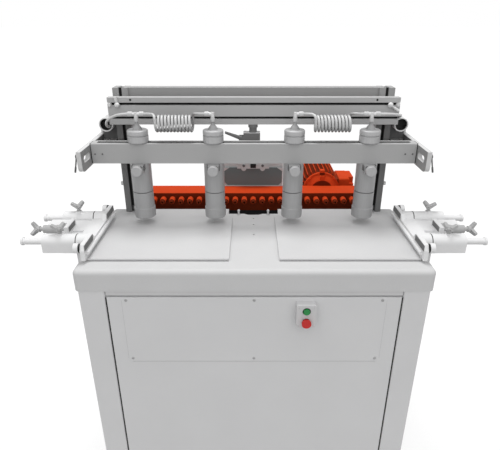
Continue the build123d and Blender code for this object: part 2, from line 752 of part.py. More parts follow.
# Hand screws of the side brackets and clamp levers of the rail
with BuildPart() as clamp_handles:
    seat_top = ROD_Z + BOSS_R + SEAT_RISE
    hub_low = seat_top + WING_STUD / 2
    for side in (-1, 1):
        for rod_y in ROD_Y:
            bar_z(WING_STUD_R, side * WING_X, rod_y, (seat_top, seat_top + WING_STUD))
            turned_z(
                [
                    (0, hub_low),
                    (WING_HUB_R / 2, hub_low),
                    (WING_HUB_R, hub_low + WING_HUB / 2),
                    (WING_HUB_R / 2, hub_low + WING_HUB),
                    (0, hub_low + WING_HUB),
                ],
                side * WING_X,
                rod_y,
            )
            wing((side * WING_X, rod_y, hub_low + WING_HUB / 2), (0, 0, 1), (side, 0, 0))
        bar_x(STOP_R, sided(side, (LUG_X[1] + STEP, STOP_HUB_X[1])), STOP_Y, STOP_Z)
        bar_x(STOP_NUT_R, sided(side, (BARREL_X[0] - STOP_NUT, BARREL_X[0])), STOP_Y, STOP_Z)
        bar_x(BARREL_R, sided(side, BARREL_X), STOP_Y, STOP_Z)
        bar_x(STOP_HUB_R, sided(side, STOP_HUB_X), STOP_Y, STOP_Z)
        wing((side * mid(STOP_HUB_X), STOP_Y, STOP_Z), (side, 0, 0), (0, 0, 1))
    for side, tip in LEVER_TIPS.items():
        ball = (side * LEVER_X, RAIL_Y[0] - LEVER_OFF, LEVER_Z)
        bar_y(LEVER_STUD_R, ball[0], (ball[1], RAIL_Y[0]), ball[2])
        with Locations(ball):
            Sphere(LEVER_BALL_R)
        end = (ball[0] + tip[0], ball[1], ball[2] + tip[1])
        grip = tuple(b + (e - b) * LEVER_GRIP_FROM for b, e in zip(ball, end))
        strut(ball, end, LEVER_R)
        strut(grip, end, LEVER_GRIP_R)
    block((-RAIL_HALF, RAIL_HALF), RAIL_Y, RAIL_Z, Mode.SUBTRACT)
save(clamp_handles, "clamp_handles")

# Twin-bar beam of the hold-down bridge, on a spigot at each end
with BuildPart() as bridge_beam:
    bar_half = BEAM_HALF - SPIGOT
    block((-bar_half, bar_half), BEAM_Y, BEAM_Z)
    front_edge = bridge_beam.edges().filter_by(Axis.X).group_by(Axis.Z)[-1].sort_by(Axis.Y)[0]
    fillet(front_edge, BEAM_EDGE_R)
    block((-BEAM_HALF, BEAM_HALF), inset(BEAM_Y, SPIGOT_INSET), inset(BEAM_Z, SPIGOT_INSET))
    slot_half = BEAM_HALF - BEAM_END
    block((-slot_half, slot_half), inset(BEAM_Y, BEAM_BAR), BEAM_Z, Mode.SUBTRACT)
save(bridge_beam, "bridge_beam")

# Side arms: nosed and slotted plate, sleeve round the column, conduit tube for the hose
with BuildPart() as bridge_arms:
    for side in (-1, 1):
        plate = sided(side, (BEAM_HALF, BEAM_HALF + ARM_THICK))
        with BuildSketch(Plane.YZ.offset(plate[0])) as arm_face:
            with Locations((mid(ARM_Y), mid(ARM_Z))):
                Rectangle(size(ARM_Y), size(ARM_Z))
            fillet(arm_face.vertices().group_by(Axis.Y)[0], ARM_NOSE_R)
            with Locations((mid(ARM_SLOT_Y), ARM_SLOT_Z)):
                SlotOverall(size(ARM_SLOT_Y), ARM_SLOT_H, mode=Mode.SUBTRACT)
        extrude(amount=ARM_THICK)
        sleeve_x = (COLUMN_X[0] - SLEEVE_SIDE, BEAM_HALF + LAP)
        block(sided(side, sleeve_x), inset(COLUMN_Y, -SLEEVE_FRONT), SLEEVE_Z)
        block(sided(side, inset(COLUMN_X, -SLIDING)), inset(COLUMN_Y, -SLIDING), SLEEVE_Z, Mode.SUBTRACT)
        block(
            sided(side, (COLUMN_X[1] + SLEEVE_RIB, BEAM_HALF - SLEEVE_SIDE)),
            COLUMN_Y,
            SLEEVE_Z,
            Mode.SUBTRACT,
        )
        brace_x = (CONDUIT_X + LAP, BEAM_HALF + SLEEVE_SIDE)
        block(sided(side, brace_x), BRACE_Y, (ARM_Z[1] - SLEEVE_RIB, CONDUIT_Z - CONDUIT_R / 2))
        bar_y(CONDUIT_R, side * CONDUIT_X, CONDUIT_Y, CONDUIT_Z)
        conduit_web = CONDUIT_Y[0] + CONDUIT_DEEP
        for bore_y in ((CONDUIT_Y[0], conduit_web), (conduit_web + SHEET, CONDUIT_Y[1])):
            bar_y(CONDUIT_R - CONDUIT_WALL, side * CONDUIT_X, bore_y, CONDUIT_Z, Mode.SUBTRACT)
save(bridge_arms, "bridge_arms")

# Hold-down cylinders: body under the beam, neck between its bars, cap on top
cap = BEAM_Z[1]
bell = cap + CAP_H + CAP_EDGE
stem_top = FITTING_Z - FITTING_FOOT
cap_outline = [
    (0, cap),
    (PRESSER_R - CAP_EDGE, cap),
    (PRESSER_R, cap + CAP_EDGE),
    (PRESSER_R, cap + CAP_SEAM - CAP_EDGE),
    (PRESSER_R - CAP_EDGE, cap + CAP_SEAM - CAP_EDGE / 2),
    (PRESSER_R - CAP_EDGE, cap + CAP_SEAM + CAP_EDGE / 2),
    (PRESSER_R, cap + CAP_SEAM + CAP_EDGE),
    (PRESSER_R, cap + CAP_H - CAP_EDGE),
    (PRESSER_R - CAP_EDGE, cap + CAP_H),
    (BELL_R[0], bell),
    (BELL_R[1], bell + BELL_STEP),
    (BELL_R[2], bell + 2 * BELL_STEP),
    (STEM_R, bell + 3 * BELL_STEP),
    (STEM_R, stem_top),
    (0, stem_top),
]
with BuildPart() as presser_cylinders:
    for x in PRESSER_X:
        bar_z(PRESSER_R, x, PRESSER_Y, (PRESSER_SPLIT_Z, BEAM_Z[0]))
        block(about(x, NECK_HALF), inset(BEAM_Y, BEAM_BAR + SLIDING), BEAM_Z)
        turned_z(cap_outline, x, PRESSER_Y)
        lug_y = (PRESSER_Y - PRESSER_R - KNOB_LUG, PRESSER_Y)
        block(about(x, KNOB_LUG_HALF), lug_y, (KNOB_Z - KNOB_LUG_HALF, BEAM_Z[0]))
        bar_z(PLUNGER_R + SLIDING, x, PRESSER_Y, (PRESSER_SPLIT_Z, BARREL_TOP), Mode.SUBTRACT)
save(presser_cylinders, "presser_cylinders")

# Plungers with their pressing feet
skirt_top = PRESSER_SPLIT_Z - PRESSER_SPLIT
with BuildPart() as presser_pistons:
    for x in PRESSER_X:
        turned_z(
            [
                (0, PRESSER_FOOT_Z),
                (SKIRT_R - FOOT_EDGE, PRESSER_FOOT_Z),
                (SKIRT_R, PRESSER_FOOT_Z + FOOT_EDGE),
                (SKIRT_R, SKIRT_Z),
                (PRESSER_R, SKIRT_Z + FOOT_EDGE),
                (PRESSER_R, skirt_top),
                (PLUNGER_R, skirt_top),
                (PLUNGER_R, PLUNGER_TOP),
                (0, PLUNGER_TOP),
            ],
            x,
            PRESSER_Y,
        )
save(presser_pistons, "presser_pistons")

# Round hand screws that clamp the cylinders to the beam
knob_back = PRESSER_Y - PRESSER_R - KNOB_LUG
knob_face = knob_back - KNOB_STEM - KNOB_THICK
with BuildPart() as presser_knobs:
    for x in PRESSER_X:
        turned_y(
            [
                (knob_back, 0),
                (knob_back, KNOB_STEM_R),
                (knob_back - KNOB_STEM, KNOB_STEM_R),
                (knob_back - KNOB_STEM, KNOB_R),
                (knob_face + FOOT_EDGE, KNOB_R),
                (knob_face, KNOB_R - FOOT_EDGE),
                (knob_face, 0),
            ],
            x,
            KNOB_Z,
        )
save(presser_knobs, "presser_knobs")

# Air fittings: a tee on each outer cylinder, an elbow on each inner one
with BuildPart() as hose_fittings:
    for x in PRESSER_X:
        bar_z(FITTING_BODY_R, x, PRESSER_Y, (stem_top, FITTING_Z + FITTING_HEAD))
        outward = math.copysign(1, x)
        ends = (-outward, outward) if abs(x) == max(PRESSER_X) else (outward,)
        for end in ends:
            bar_x(STEM_R, span_from(x, 0, end * FITTING_REACH), PRESSER_Y, FITTING_Z)
            collar = span_from(x, end * (FITTING_REACH - COLLAR_LONG), end * FITTING_REACH)
            bar_x(COLLAR_R, collar, PRESSER_Y, FITTING_Z)
save(hose_fittings, "hose_fittings")


def helix_point(turn):
    """Point and direction on the left coil at an angle from its top toward the front, in radians."""
    start = PRESSER_X[0] + FITTING_REACH + COIL_LEAD
    x = start + (turn - math.pi / 2) / (2 * math.pi) * COIL_PITCH
    point = Vector(x, PRESSER_Y - COIL_R * math.sin(turn), COIL_Z + COIL_R * math.cos(turn))
    heading = Vector(COIL_PITCH / (2 * math.pi), -COIL_R * math.cos(turn), -COIL_R * math.sin(turn))
    return point, heading.normalized()


def biarc(start, start_dir, end, end_dir):
    """Two tangent arcs that leave start along start_dir and reach end along end_dir."""
    gap = end - start
    spread = start_dir + end_dir
    bend = 2 * (1 - start_dir.dot(end_dir))
    lead = gap.dot(spread)
    reach = (-lead + math.sqrt(lead * lead + bend * gap.dot(gap))) / bend
    first = start + start_dir * reach
    second = end - end_dir * reach
    joint = (first + second) * 0.5
    return [
        Edge.make_tangent_arc(start, start_dir, joint),
        Edge.make_tangent_arc(joint, (second - first).normalized(), end),
    ]


def coil_edges():
    """Edges of the left coiled hose, from the tee's right arm to the inner elbow."""
    ahead = Vector(1, 0, 0)
    lead_in = Vector(PRESSER_X[0] + FITTING_REACH, PRESSER_Y, FITTING_Z)
    lead_out = Vector(PRESSER_X[1] - FITTING_REACH, PRESSER_Y, FITTING_Z)
    first_bend = lead_in + ahead * COIL_STRAIGHT
    last_bend = lead_out - ahead * COIL_TAIL
    turns = [math.pi / 2 + math.pi * i for i in range(int(2 * COIL_TURNS) + 1)]
    points = [helix_point(turn) for turn in turns]
    edges = [Edge.make_line(lead_in, first_bend)]
    edges += biarc(first_bend, ahead, *points[0])
    for here, there in zip(points, points[1:]):
        edges += biarc(*here, *there)
    edges += biarc(*points[-1], last_bend, ahead)
    edges.append(Edge.make_line(last_bend, lead_out))
    return edges


def least_self_gap(path, step=1.5, skip=30.0):
    """Least gap between parts of a tube that are further apart along it than skip."""
    count = int(path.length / step)
    spots = [path.position_at(i / count) for i in range(count + 1)]
    apart = int(skip / step)
    least = min(
        (spots[i] - spots[j]).length for i in range(0, len(spots) - apart) for j in range(i + apart, len(spots))
    )
    return least - 2 * HOSE_R


def check_tube(name, builder, path, count):
    """Print a swept tube's volume beside its section times its length."""
    drawn = count * math.pi * HOSE_R**2 * path.length
    print(f"{name}: volume {builder.part.volume:.0f} mm3, section times length {drawn:.0f} mm3")


coil_path = Wire(coil_edges())
print(f"coil: length {coil_path.length:.1f} mm, least gap {least_self_gap(coil_path):.2f} mm")

tee_end = PRESSER_X[0] - FITTING_REACH
mouth = Vector(-CONDUIT_X - LEAD_MOUTH[0], CONDUIT_Y[0] + LEAD_MOUTH[1], CONDUIT_Z + LEAD_MOUTH[2])
lead_points = [
    (tee_end, PRESSER_Y, FITTING_Z),
    (tee_end - LEAD_STRAIGHT, PRESSER_Y, FITTING_Z),
    (-CONDUIT_X - LEAD_TURN[0], CONDUIT_Y[0] + LEAD_TURN[1], CONDUIT_Z + LEAD_TURN[2]),
    (mouth.X, mouth.Y, mouth.Z),
    (mouth.X, CONDUIT_Y[0] + CONDUIT_DEEP, mouth.Z),
]


def bend_radii(points, share=0.45):
    """Radius at each inner point: a share of the shorter run over the tangent of half the turn."""
    radii = []
    for before, here, after in zip(points, points[1:], points[2:]):
        run_in = Vector(*here) - Vector(*before)
        run_out = Vector(*after) - Vector(*here)
        half = math.radians(run_in.get_angle(run_out)) / 2
        radii.append(share * min(run_in.length, run_out.length) / math.tan(half))
    return radii


lead_radii = bend_radii(lead_points)

# Coiled hoses between the hold-downs, the right one wound as the left one
with BuildPart() as coil_hose_left:
    with BuildSketch(Plane(origin=coil_path.position_at(0), z_dir=coil_path.tangent_at(0))):
        Circle(HOSE_R)
    sweep(path=coil_path)
check_tube("coil", coil_hose_left, coil_path, 1)
save(coil_hose_left, "coil_hose_left")

with BuildPart() as coil_hose_right:
    add(coil_hose_left.part.moved(Location((PRESSER_X[2] - PRESSER_X[0], 0, 0))))
save(coil_hose_right, "coil_hose_right")

# Plain hoses from the tees into the conduits
with BuildPart() as lead_hoses:
    with BuildLine() as lead_line:
        FilletPolyline(*lead_points, radius=lead_radii)
    with BuildSketch(Plane(origin=lead_points[0], z_dir=lead_line.line % 0)):
        Circle(HOSE_R)
    sweep(path=lead_line.line)
    mirror(about=Plane.YZ)
print(f"lead: length {lead_line.wire().length:.1f} mm, bend radii", [round(r, 1) for r in lead_radii])
check_tube("leads", lead_hoses, lead_line.wire(), 2)
save(lead_hoses, "lead_hoses")

# Hand valve under the rail: body on a stem, fork for the lever
stem_x = mid(VALVE_X) + VALVE_STEM_OFF
with BuildPart() as hand_valve:
    bar_z(VALVE_STEM_R, stem_x, mid(RAIL_Y), (VALVE_Z[1] - LAP, RAIL_Z[0]))
    bar_z(VALVE_COLLAR_R, stem_x, mid(RAIL_Y), (RAIL_Z[0] - VALVE_COLLAR, RAIL_Z[0]))
    block(VALVE_X, VALVE_Y, VALVE_Z)
    for ear_y in ((VALVE_Y[0], VALVE_Y[0] + VALVE_EAR), (VALVE_Y[1] - VALVE_EAR, VALVE_Y[1])):
        ear_x = (VALVE_PIVOT[0] - LEVER_HUB_R, VALVE_X[0] + LAP)
        block(ear_x, ear_y, about(VALVE_PIVOT[1], VALVE_EAR))
        bar_y(VALVE_PIN_R + RUNNING, VALVE_PIVOT[0], ear_y, VALVE_PIVOT[1], Mode.SUBTRACT)
save(hand_valve, "hand_valve")

# Lever of the hand valve, turning on its own stub pins
lever_y = inset(VALVE_Y, VALVE_EAR + FLOAT)
with BuildPart() as valve_lever:
    bar_y(LEVER_HUB_R, VALVE_PIVOT[0], lever_y, VALVE_PIVOT[1])
    bar_y(VALVE_PIN_R, VALVE_PIVOT[0], inset(VALVE_Y, LAP / 2), VALVE_PIVOT[1])
    with BuildSketch(Plane.XZ.offset(-lever_y[1])):
        Polygon(*[(VALVE_PIVOT[0] + x, VALVE_PIVOT[1] + z) for x, z in LEVER_BLADE], align=None)
    extrude(amount=size(lever_y))
save(valve_lever, "valve_lever")

# Start and stop station on the access panel
switch_back = FRONT_Y - ACCESS_THICK
switch_front = switch_back - SWITCH_DEEP
switch_x = mid(SWITCH_X)
start_z = mid(SWITCH_Z) + BUTTON_APART
stop_z = mid(SWITCH_Z) - BUTTON_APART
with BuildPart() as switch_box:
    block(SWITCH_X, (switch_front, switch_back), SWITCH_Z)
    fillet(switch_box.edges().filter_by(Axis.Y), SWITCH_CORNER_R)
    for z in (start_z, stop_z):
        bar_y(BUTTON_R + SLIDING, switch_x, (switch_front, switch_front + BUTTON_WELL), z, Mode.SUBTRACT)
save(switch_box, "switch_box")

with BuildPart() as start_button:
    bar_y(BUTTON_R, switch_x, (switch_front - START_PROUD, switch_front + BUTTON_IN), start_z)
save(start_button, "start_button")

with BuildPart() as stop_button:
    stop_face = switch_front - STOP_PROUD
    bar_y(BUTTON_R, switch_x, (stop_face, switch_front + BUTTON_IN), stop_z)
    bar_y(STOP_CAP_R, switch_x, (stop_face - STOP_CAP, stop_face), stop_z)
save(stop_button, "stop_button")


def row_of_holes(radius, face_y, depth):
    """A round hole at every spindle, cut from a face toward the front."""
    with BuildSketch(Plane.XZ.offset(-face_y)) as holes:
        with Locations((0, SPINDLE_Z)):
            with GridLocations(SPINDLE_PITCH, 0, SPINDLE_COUNT, 1):
                Circle(radius)
    extrude(holes.sketch, amount=depth, mode=Mode.SUBTRACT)


# Gear housing of the boring head, open at the back
with BuildPart() as head_housing:
    block((-head_half, head_half), HEAD_Y, HEAD_Z)
    gear_space = GEAR_TIP_R + GEAR_ROOM
    seat_back = FRONT_BEARING_Y + BEARING_SEAT
    block(
        (spindle_x[0] - gear_space, spindle_x[-1] + gear_space),
        (seat_back, HEAD_Y[1]),
        (HEAD_Z[0] + SUMP, SPINDLE_Z + gear_space),
        Mode.SUBTRACT,
    )
    row_of_holes(BEARING_R, seat_back, BEARING_SEAT)
    row_of_holes(SHAFT_R + SHAFT_ROOM, FRONT_BEARING_Y, FRONT_BEARING_Y - HEAD_Y[0])
save(head_housing, "head_housing")

# Back cover with the rear bearing seats
with BuildPart() as head_back_cover:
    block((-head_half, head_half), COVER_Y, HEAD_Z)
    row_of_holes(BEARING_R, REAR_BEARING_Y, REAR_BEARING_Y - COVER_Y[0])
    bar_y(SHAFT_R + LAP, motor_x, COVER_Y, SPINDLE_Z, Mode.SUBTRACT)
save(head_back_cover, "head_back_cover")

# Two bearings to each spindle
with BuildPart() as spindle_bearings:
    for ring_y, width in ((FRONT_BEARING_Y + BEARING_W, BEARING_W), (REAR_BEARING_Y, REAR_BEARING_W)):
        with BuildSketch(Plane.XZ.offset(-ring_y)):
            with Locations((0, SPINDLE_Z)):
                with GridLocations(SPINDLE_PITCH, 0, SPINDLE_COUNT, 1):
                    Circle(BEARING_R)
                    Circle(SHAFT_R + RUNNING, mode=Mode.SUBTRACT)
        extrude(amount=width)
save(spindle_bearings, "spindle_bearings")


def gear_outline(x, phase_deg):
    """Tooth flanks of one pinion as (x, z) points."""
    points = []
    for tooth in range(GEAR_TEETH):
        middle = phase_deg + tooth * 360 / GEAR_TEETH
        for radius, turn in (
            (GEAR_ROOT_R, -GEAR_ROOT_HALF_DEG),
            (GEAR_TIP_R, -GEAR_TIP_HALF_DEG),
            (GEAR_TIP_R, GEAR_TIP_HALF_DEG),
            (GEAR_ROOT_R, GEAR_ROOT_HALF_DEG),
        ):
            angle = math.radians(middle + turn)
            points.append((x + radius * math.cos(angle), SPINDLE_Z + radius * math.sin(angle)))
    return points


# Pinion shafts: bored chuck nose, two journals and a pinion in mesh with its neighbours
for number, x in enumerate(spindle_x, 1):
    tail = TAIL_Y if number == MOTOR_SPINDLE else REAR_BEARING_Y - FLOAT
    with BuildPart() as spindle:
        turned_y(
            [
                (TIP_Y + SHANK_DEEP, 0),
                (TIP_Y + SHANK_DEEP, SHANK_R),
                (TIP_Y, SHANK_R),
                (TIP_Y, TIP_R - TIP_EDGE),
                (TIP_Y + TIP_EDGE, TIP_R),
                (NOSE_Y[0], TIP_R),
                (NOSE_Y[0], NOSE_R - NOSE_EDGE),
                (NOSE_Y[0] + NOSE_EDGE, NOSE_R),
                (NOSE_Y[1], NOSE_R),
                (NOSE_Y[1], SHAFT_R),
                (tail, SHAFT_R),
                (tail, 0),
            ],
            x,
            SPINDLE_Z,
        )
        with BuildSketch(Plane.XZ.offset(-GEAR_Y[1])):
            Polygon(*gear_outline(x, 180 / GEAR_TEETH * (number % 2)), align=None)
        extrude(amount=size(GEAR_Y))
    save(spindle, f"spindle_{number:02d}")

# Finned motor frame with its end bell, hollow for the rotor
with BuildPart() as motor_frame:
    turned_y(
        [
            (COVER_Y[1], 0),
            (COVER_Y[1], BELL_SMALL_R),
            (MOTOR_Y[0], MOTOR_FLANGE_R),
            (MOTOR_Y[0] + LAP, MOTOR_FLANGE_R),
            (MOTOR_Y[0] + LAP, 0),
        ],
        motor_x,
        SPINDLE_Z,
    )
    block(about(motor_x, MOTOR_EYE_HALF), (COVER_Y[1], MOTOR_Y[0] + LAP), MOTOR_EYE_Z)
    bar_y(MOTOR_R, motor_x, MOTOR_Y, SPINDLE_Z)
    fin_mid = (MOTOR_R + FIN_TIP_R - LAP) / 2
    for turn in range(0, 360, FIN_STEP_DEG):
        if FIN_ARC_DEG[0] < turn < FIN_ARC_DEG[1]:
            angle = math.radians(turn)
            fin_y = mid(MOTOR_Y) + FIN_SET / 2
            spot = (motor_x + fin_mid * math.cos(angle), fin_y, SPINDLE_Z + fin_mid * math.sin(angle))
            with Locations(Location(spot, (0, -turn, 0))):
                Box(FIN_TIP_R - MOTOR_R + LAP, size(MOTOR_Y) - FIN_SET, FIN_T)
    block((motor_x + BOX_NECK_START, BOX_X[0]), inset(BOX_Y, BOX_NECK_INSET), inset(BOX_Z, BOX_NECK_INSET))
    bar_y(STATOR_R, motor_x, STATOR_Y, SPINDLE_Z, Mode.SUBTRACT)
    bar_y(COUPLING_R + COUPLING_ROOM, motor_x, (COVER_Y[1], COUPLING_Y[1] + STEP), SPINDLE_Z, Mode.SUBTRACT)
    bar_y(MOTOR_SHAFT_R + RUNNING, motor_x, (COVER_Y[1], MOTOR_Y[1]), SPINDLE_Z, Mode.SUBTRACT)
save(motor_frame, "motor_frame")

# Terminal box on the side of the motor: body, shorter lid and the ledge under it
with BuildPart() as motor_terminal_box:
    block(BOX_X[:2], BOX_Y, BOX_Z)
    fillet(motor_terminal_box.edges().filter_by(Axis.X), BOX_EDGE_R)
    block(BOX_X[1:], LID_Y, BOX_Z)
    block(BOX_X[1:], inset(BOX_Y, BOX_EDGE_R), (BOX_Z[0] + BOX_EDGE_R, LEDGE_Z))
    bar_z(GLAND_R, mid(BOX_X[:2]), mid(BOX_Y), (BOX_Z[0] - GLAND_LONG, BOX_Z[0] + LAP))
save(motor_terminal_box, "motor_terminal_box")

# Fan cowl with inlet slots
with BuildPart() as motor_fan_cowl:
    bar_y(COWL_R, motor_x, (MOTOR_Y[1], COWL_REAR), SPINDLE_Z)
    fillet(motor_fan_cowl.faces().sort_by(Axis.Y)[-1].edges(), COWL_EDGE_R)
    bar_y(COWL_R - SHEET, motor_x, (MOTOR_Y[1], COWL_REAR - COWL_FACE), SPINDLE_Z, Mode.SUBTRACT)
    inner_face = (COWL_REAR - COWL_FACE - STEP, COWL_REAR - SHEET)
    bar_y(COWL_R - COWL_RING, motor_x, inner_face, SPINDLE_Z, Mode.SUBTRACT)
    for row in range(-GRILLE_ROWS, GRILLE_ROWS + 1):
        half = math.sqrt((COWL_R - GRILLE_RIM) ** 2 - (row * GRILLE_PITCH) ** 2)
        row_z = about(SPINDLE_Z + row * GRILLE_PITCH, GRILLE_SLOT / 2)
        block(about(motor_x, half), (COWL_REAR - SHEET - 1, COWL_REAR), row_z, Mode.SUBTRACT)
save(motor_fan_cowl, "motor_fan_cowl")

# Rotor with its shaft, coupling and fan
with BuildPart() as motor_rotor:
    turned_y(
        [
            (COUPLING_Y[0], SHAFT_R + SLIDING),
            (COUPLING_Y[0], COUPLING_R),
            (COUPLING_Y[1], COUPLING_R),
            (COUPLING_Y[1], MOTOR_SHAFT_R),
            (ROTOR_Y[0], MOTOR_SHAFT_R),
            (ROTOR_Y[0], STATOR_R - FLOAT),
            (ROTOR_Y[1], STATOR_R - FLOAT),
            (ROTOR_Y[1], MOTOR_SHAFT_R),
            (FAN_Y[0], MOTOR_SHAFT_R),
            (FAN_Y[0], FAN_R),
            (FAN_Y[1], FAN_R),
            (FAN_Y[1], FAN_HUB_R),
            (FAN_HUB_REAR, FAN_HUB_R),
            (FAN_HUB_REAR, 0),
            (TAIL_Y + STEP, 0),
            (TAIL_Y + STEP, SHAFT_R + SLIDING),
        ],
        motor_x,
        SPINDLE_Z,
    )
    blade_mid = FAN_R - BLADE[0] / 2
    for turn in range(0, 360, BLADE_STEP_DEG):
        angle = math.radians(turn)
        blade_y = FAN_Y[1] + BLADE[1] / 2
        spot = (motor_x + blade_mid * math.cos(angle), blade_y, SPINDLE_Z + blade_mid * math.sin(angle))
        with Locations(Location(spot, (0, -turn, 0))):
            Box(*BLADE)
save(motor_rotor, "motor_rotor")

# Saddle under and behind the head: bush blocks, push lug and an upright with a stop bracket
with BuildPart() as head_saddle:
    block(about(0, GUIDE_X + SADDLE_OVER), (HEAD_Y[0] + LAP, COVER_Y[1]), SADDLE_Z)
    upright_x = about(0, UPRIGHT_HALF)
    block(upright_x, (COVER_Y[1], COVER_Y[1] + UPRIGHT_T), (SADDLE_Z[0], UPRIGHT_TOP))
    block(upright_x, (COVER_Y[1] - PANEL_LIP, COVER_Y[1]), (HEAD_Z[1] + FLOAT, HEAD_Z[1] + PANEL_T))
    bracket_front = COVER_Y[1] - STOP_BRACKET_REACH
    block(about(0, STOP_BRACKET_HALF), (bracket_front, COVER_Y[1] + UPRIGHT_T), STOP_BRACKET_Z)
    for lobe_x in (-LOBE_X, LOBE_X):
        bar_y(LOBE_R, lobe_x, (bracket_front, COVER_Y[1] - PANEL_T - STEP), STOP_BRACKET_Z[0])
    for side in (-1, 1):
        block(
            about(side * GUIDE_X, BUSH_HALF),
            (HEAD_Y[0] + REAR_WALL, COVER_Y[1] - CHEEK_ROOM),
            (GUIDE_Z - BUSH_HALF, SADDLE_Z[0]),
        )
        bar_y(GUIDE_R + RUNNING, side * GUIDE_X, (HEAD_Y[0], COVER_Y[1]), GUIDE_Z, Mode.SUBTRACT)
    block(about(0, PUSH_LUG_HALF), PUSH_LUG_Y, (GUIDE_Z - PUSH_LUG_HALF, SADDLE_Z[0]))
save(head_saddle, "head_saddle")

# Dark panel on the upright, its lower corners cut
with BuildPart() as stop_panel:
    panel_z = (HEAD_Z[1] + PANEL_T, STOP_BRACKET_Z[0])
    with BuildSketch(Plane.XZ.offset(-COVER_Y[1])) as panel_face:
        with Locations((0, mid(panel_z))):
            Rectangle(2 * PANEL_HALF, size(panel_z))
        chamfer(panel_face.vertices().group_by(Axis.Y)[0], PANEL_CUT)
    extrude(amount=PANEL_T)
save(stop_panel, "stop_panel")

# Cradle: cheeks on trunnion pins, joined by two bars that hold the guide rods of the feed
with BuildPart() as tilt_cradle:
    for side in (-1, 1):
        cheek = sided(side, CHEEK_X)
        with BuildSketch(Plane.YZ.offset(cheek[0])):
            with Locations((PIVOT_Y, PIVOT_Z)):
                Circle(CHEEK_END_R)
            Polygon(
                (PIVOT_Y - CHEEK_WAIST[0], PIVOT_Z - CHEEK_WAIST[1]),
                (PIVOT_Y + CHEEK_WAIST[0], PIVOT_Z + CHEEK_WAIST[1]),
                CHEEK_SHOULDER,
                (REAR_BAR_Y[1], CHEEK_TAIL_Z),
                (REAR_BAR_Y[1], CRADLE_BAR_Z[0] - CHEEK_DROP),
                (CHEEK_TOE_Y, CRADLE_BAR_Z[0] - CHEEK_DROP),
                align=None,
            )
        extrude(amount=size(CHEEK_X))
        bar_x(PIVOT_R, sided(side, (CHEEK_X[0] + LAP, COLUMN_X[1] - LAP)), PIVOT_Y, PIVOT_Z)
        bar_y(GUIDE_R, side * GUIDE_X, (FRONT_BAR_Y[0], REAR_BAR_Y[1]), GUIDE_Z)
    for bar_span in (FRONT_BAR_Y, REAR_BAR_Y):
        block(about(0, CHEEK_X[0] + LAP), bar_span, CRADLE_BAR_Z)
save(tilt_cradle, "tilt_cradle")

# Feed cylinder, bored for its piston
bore_r = CYLINDER_R - CYLINDER_WALL
with BuildPart() as feed_cylinder:
    bar_y(CYLINDER_R, 0, CYLINDER_Y, GUIDE_Z)
    for end_y in ((CYLINDER_Y[0], CYLINDER_Y[0] + CYLINDER_END), (CYLINDER_Y[1] - CYLINDER_END, CYLINDER_Y[1])):
        block(about(0, CYLINDER_R), end_y, about(GUIDE_Z, CYLINDER_R))
    bar_y(bore_r, 0, inset(CYLINDER_Y, CYLINDER_HEAD), GUIDE_Z, Mode.SUBTRACT)
    rod_bore = (CYLINDER_Y[0], CYLINDER_Y[0] + CYLINDER_HEAD)
    bar_y(PISTON_ROD_R + RUNNING, 0, rod_bore, GUIDE_Z, Mode.SUBTRACT)
save(feed_cylinder, "feed_cylinder")

# Piston and rod that push the saddle
with BuildPart() as feed_piston_rod:
    bar_y(PISTON_ROD_R, 0, (PUSH_LUG_Y[1], PISTON_Y[1]), GUIDE_Z)
    bar_y(ROD_COLLAR_R, 0, (PUSH_LUG_Y[1], PUSH_LUG_Y[1] + ROD_COLLAR), GUIDE_Z)
    bar_y(bore_r - SLIDING, 0, PISTON_Y, GUIDE_Z)
save(feed_piston_rod, "feed_piston_rod")
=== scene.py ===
"""A multi-spindle boring machine, dressed for rendering and laid out as a Blender add-on.

Lengths are in metres. A name that ends in RISE holds heights over the work pads. One that ends in X, Y or Z
holds places along that axis, or distances along it from the piece that is fitted.
"""

import json
import math

import bmesh
import bpy
from bpy.props import FloatProperty, FloatVectorProperty, PointerProperty
from mathutils import Matrix, Vector


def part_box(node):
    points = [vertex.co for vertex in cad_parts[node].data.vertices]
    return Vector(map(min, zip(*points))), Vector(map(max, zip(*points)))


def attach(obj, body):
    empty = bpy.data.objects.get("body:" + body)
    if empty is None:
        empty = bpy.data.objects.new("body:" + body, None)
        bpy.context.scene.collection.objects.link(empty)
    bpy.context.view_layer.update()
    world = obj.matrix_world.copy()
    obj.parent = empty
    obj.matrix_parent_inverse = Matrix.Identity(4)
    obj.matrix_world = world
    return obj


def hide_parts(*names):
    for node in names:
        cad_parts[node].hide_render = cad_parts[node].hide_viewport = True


bl_info = {
    "name": "Multi-spindle Boring Machine",
    "version": (1, 0, 0),
    "blender": (4, 5, 0),
    "location": "View3D > Sidebar > Boring Machine",
    "description": "Finishes, hoses and small fittings of a multi-spindle boring machine",
    "category": "Object",
}

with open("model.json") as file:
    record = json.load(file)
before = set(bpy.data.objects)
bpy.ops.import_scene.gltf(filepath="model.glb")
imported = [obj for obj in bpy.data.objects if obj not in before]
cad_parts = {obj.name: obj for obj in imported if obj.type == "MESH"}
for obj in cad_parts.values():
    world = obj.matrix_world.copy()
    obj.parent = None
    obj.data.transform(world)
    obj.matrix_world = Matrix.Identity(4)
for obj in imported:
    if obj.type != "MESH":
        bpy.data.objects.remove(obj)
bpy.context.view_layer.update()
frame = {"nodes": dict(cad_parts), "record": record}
NODES = frame["nodes"]
SLOT_OF = {entry["node"]: entry["material_slot"] for entry in frame["record"]["subparts"]}
LEFT = Vector((-1, 0, 0))
RIGHT = Vector((1, 0, 0))
FRONT = Vector((0, -1, 0))
BACK = Vector((0, 1, 0))
UP = Vector((0, 0, 1))
SIDES = (-1, 1)
HANDS = (("left", -1), ("right", 1))
WORK_Z = 0.9

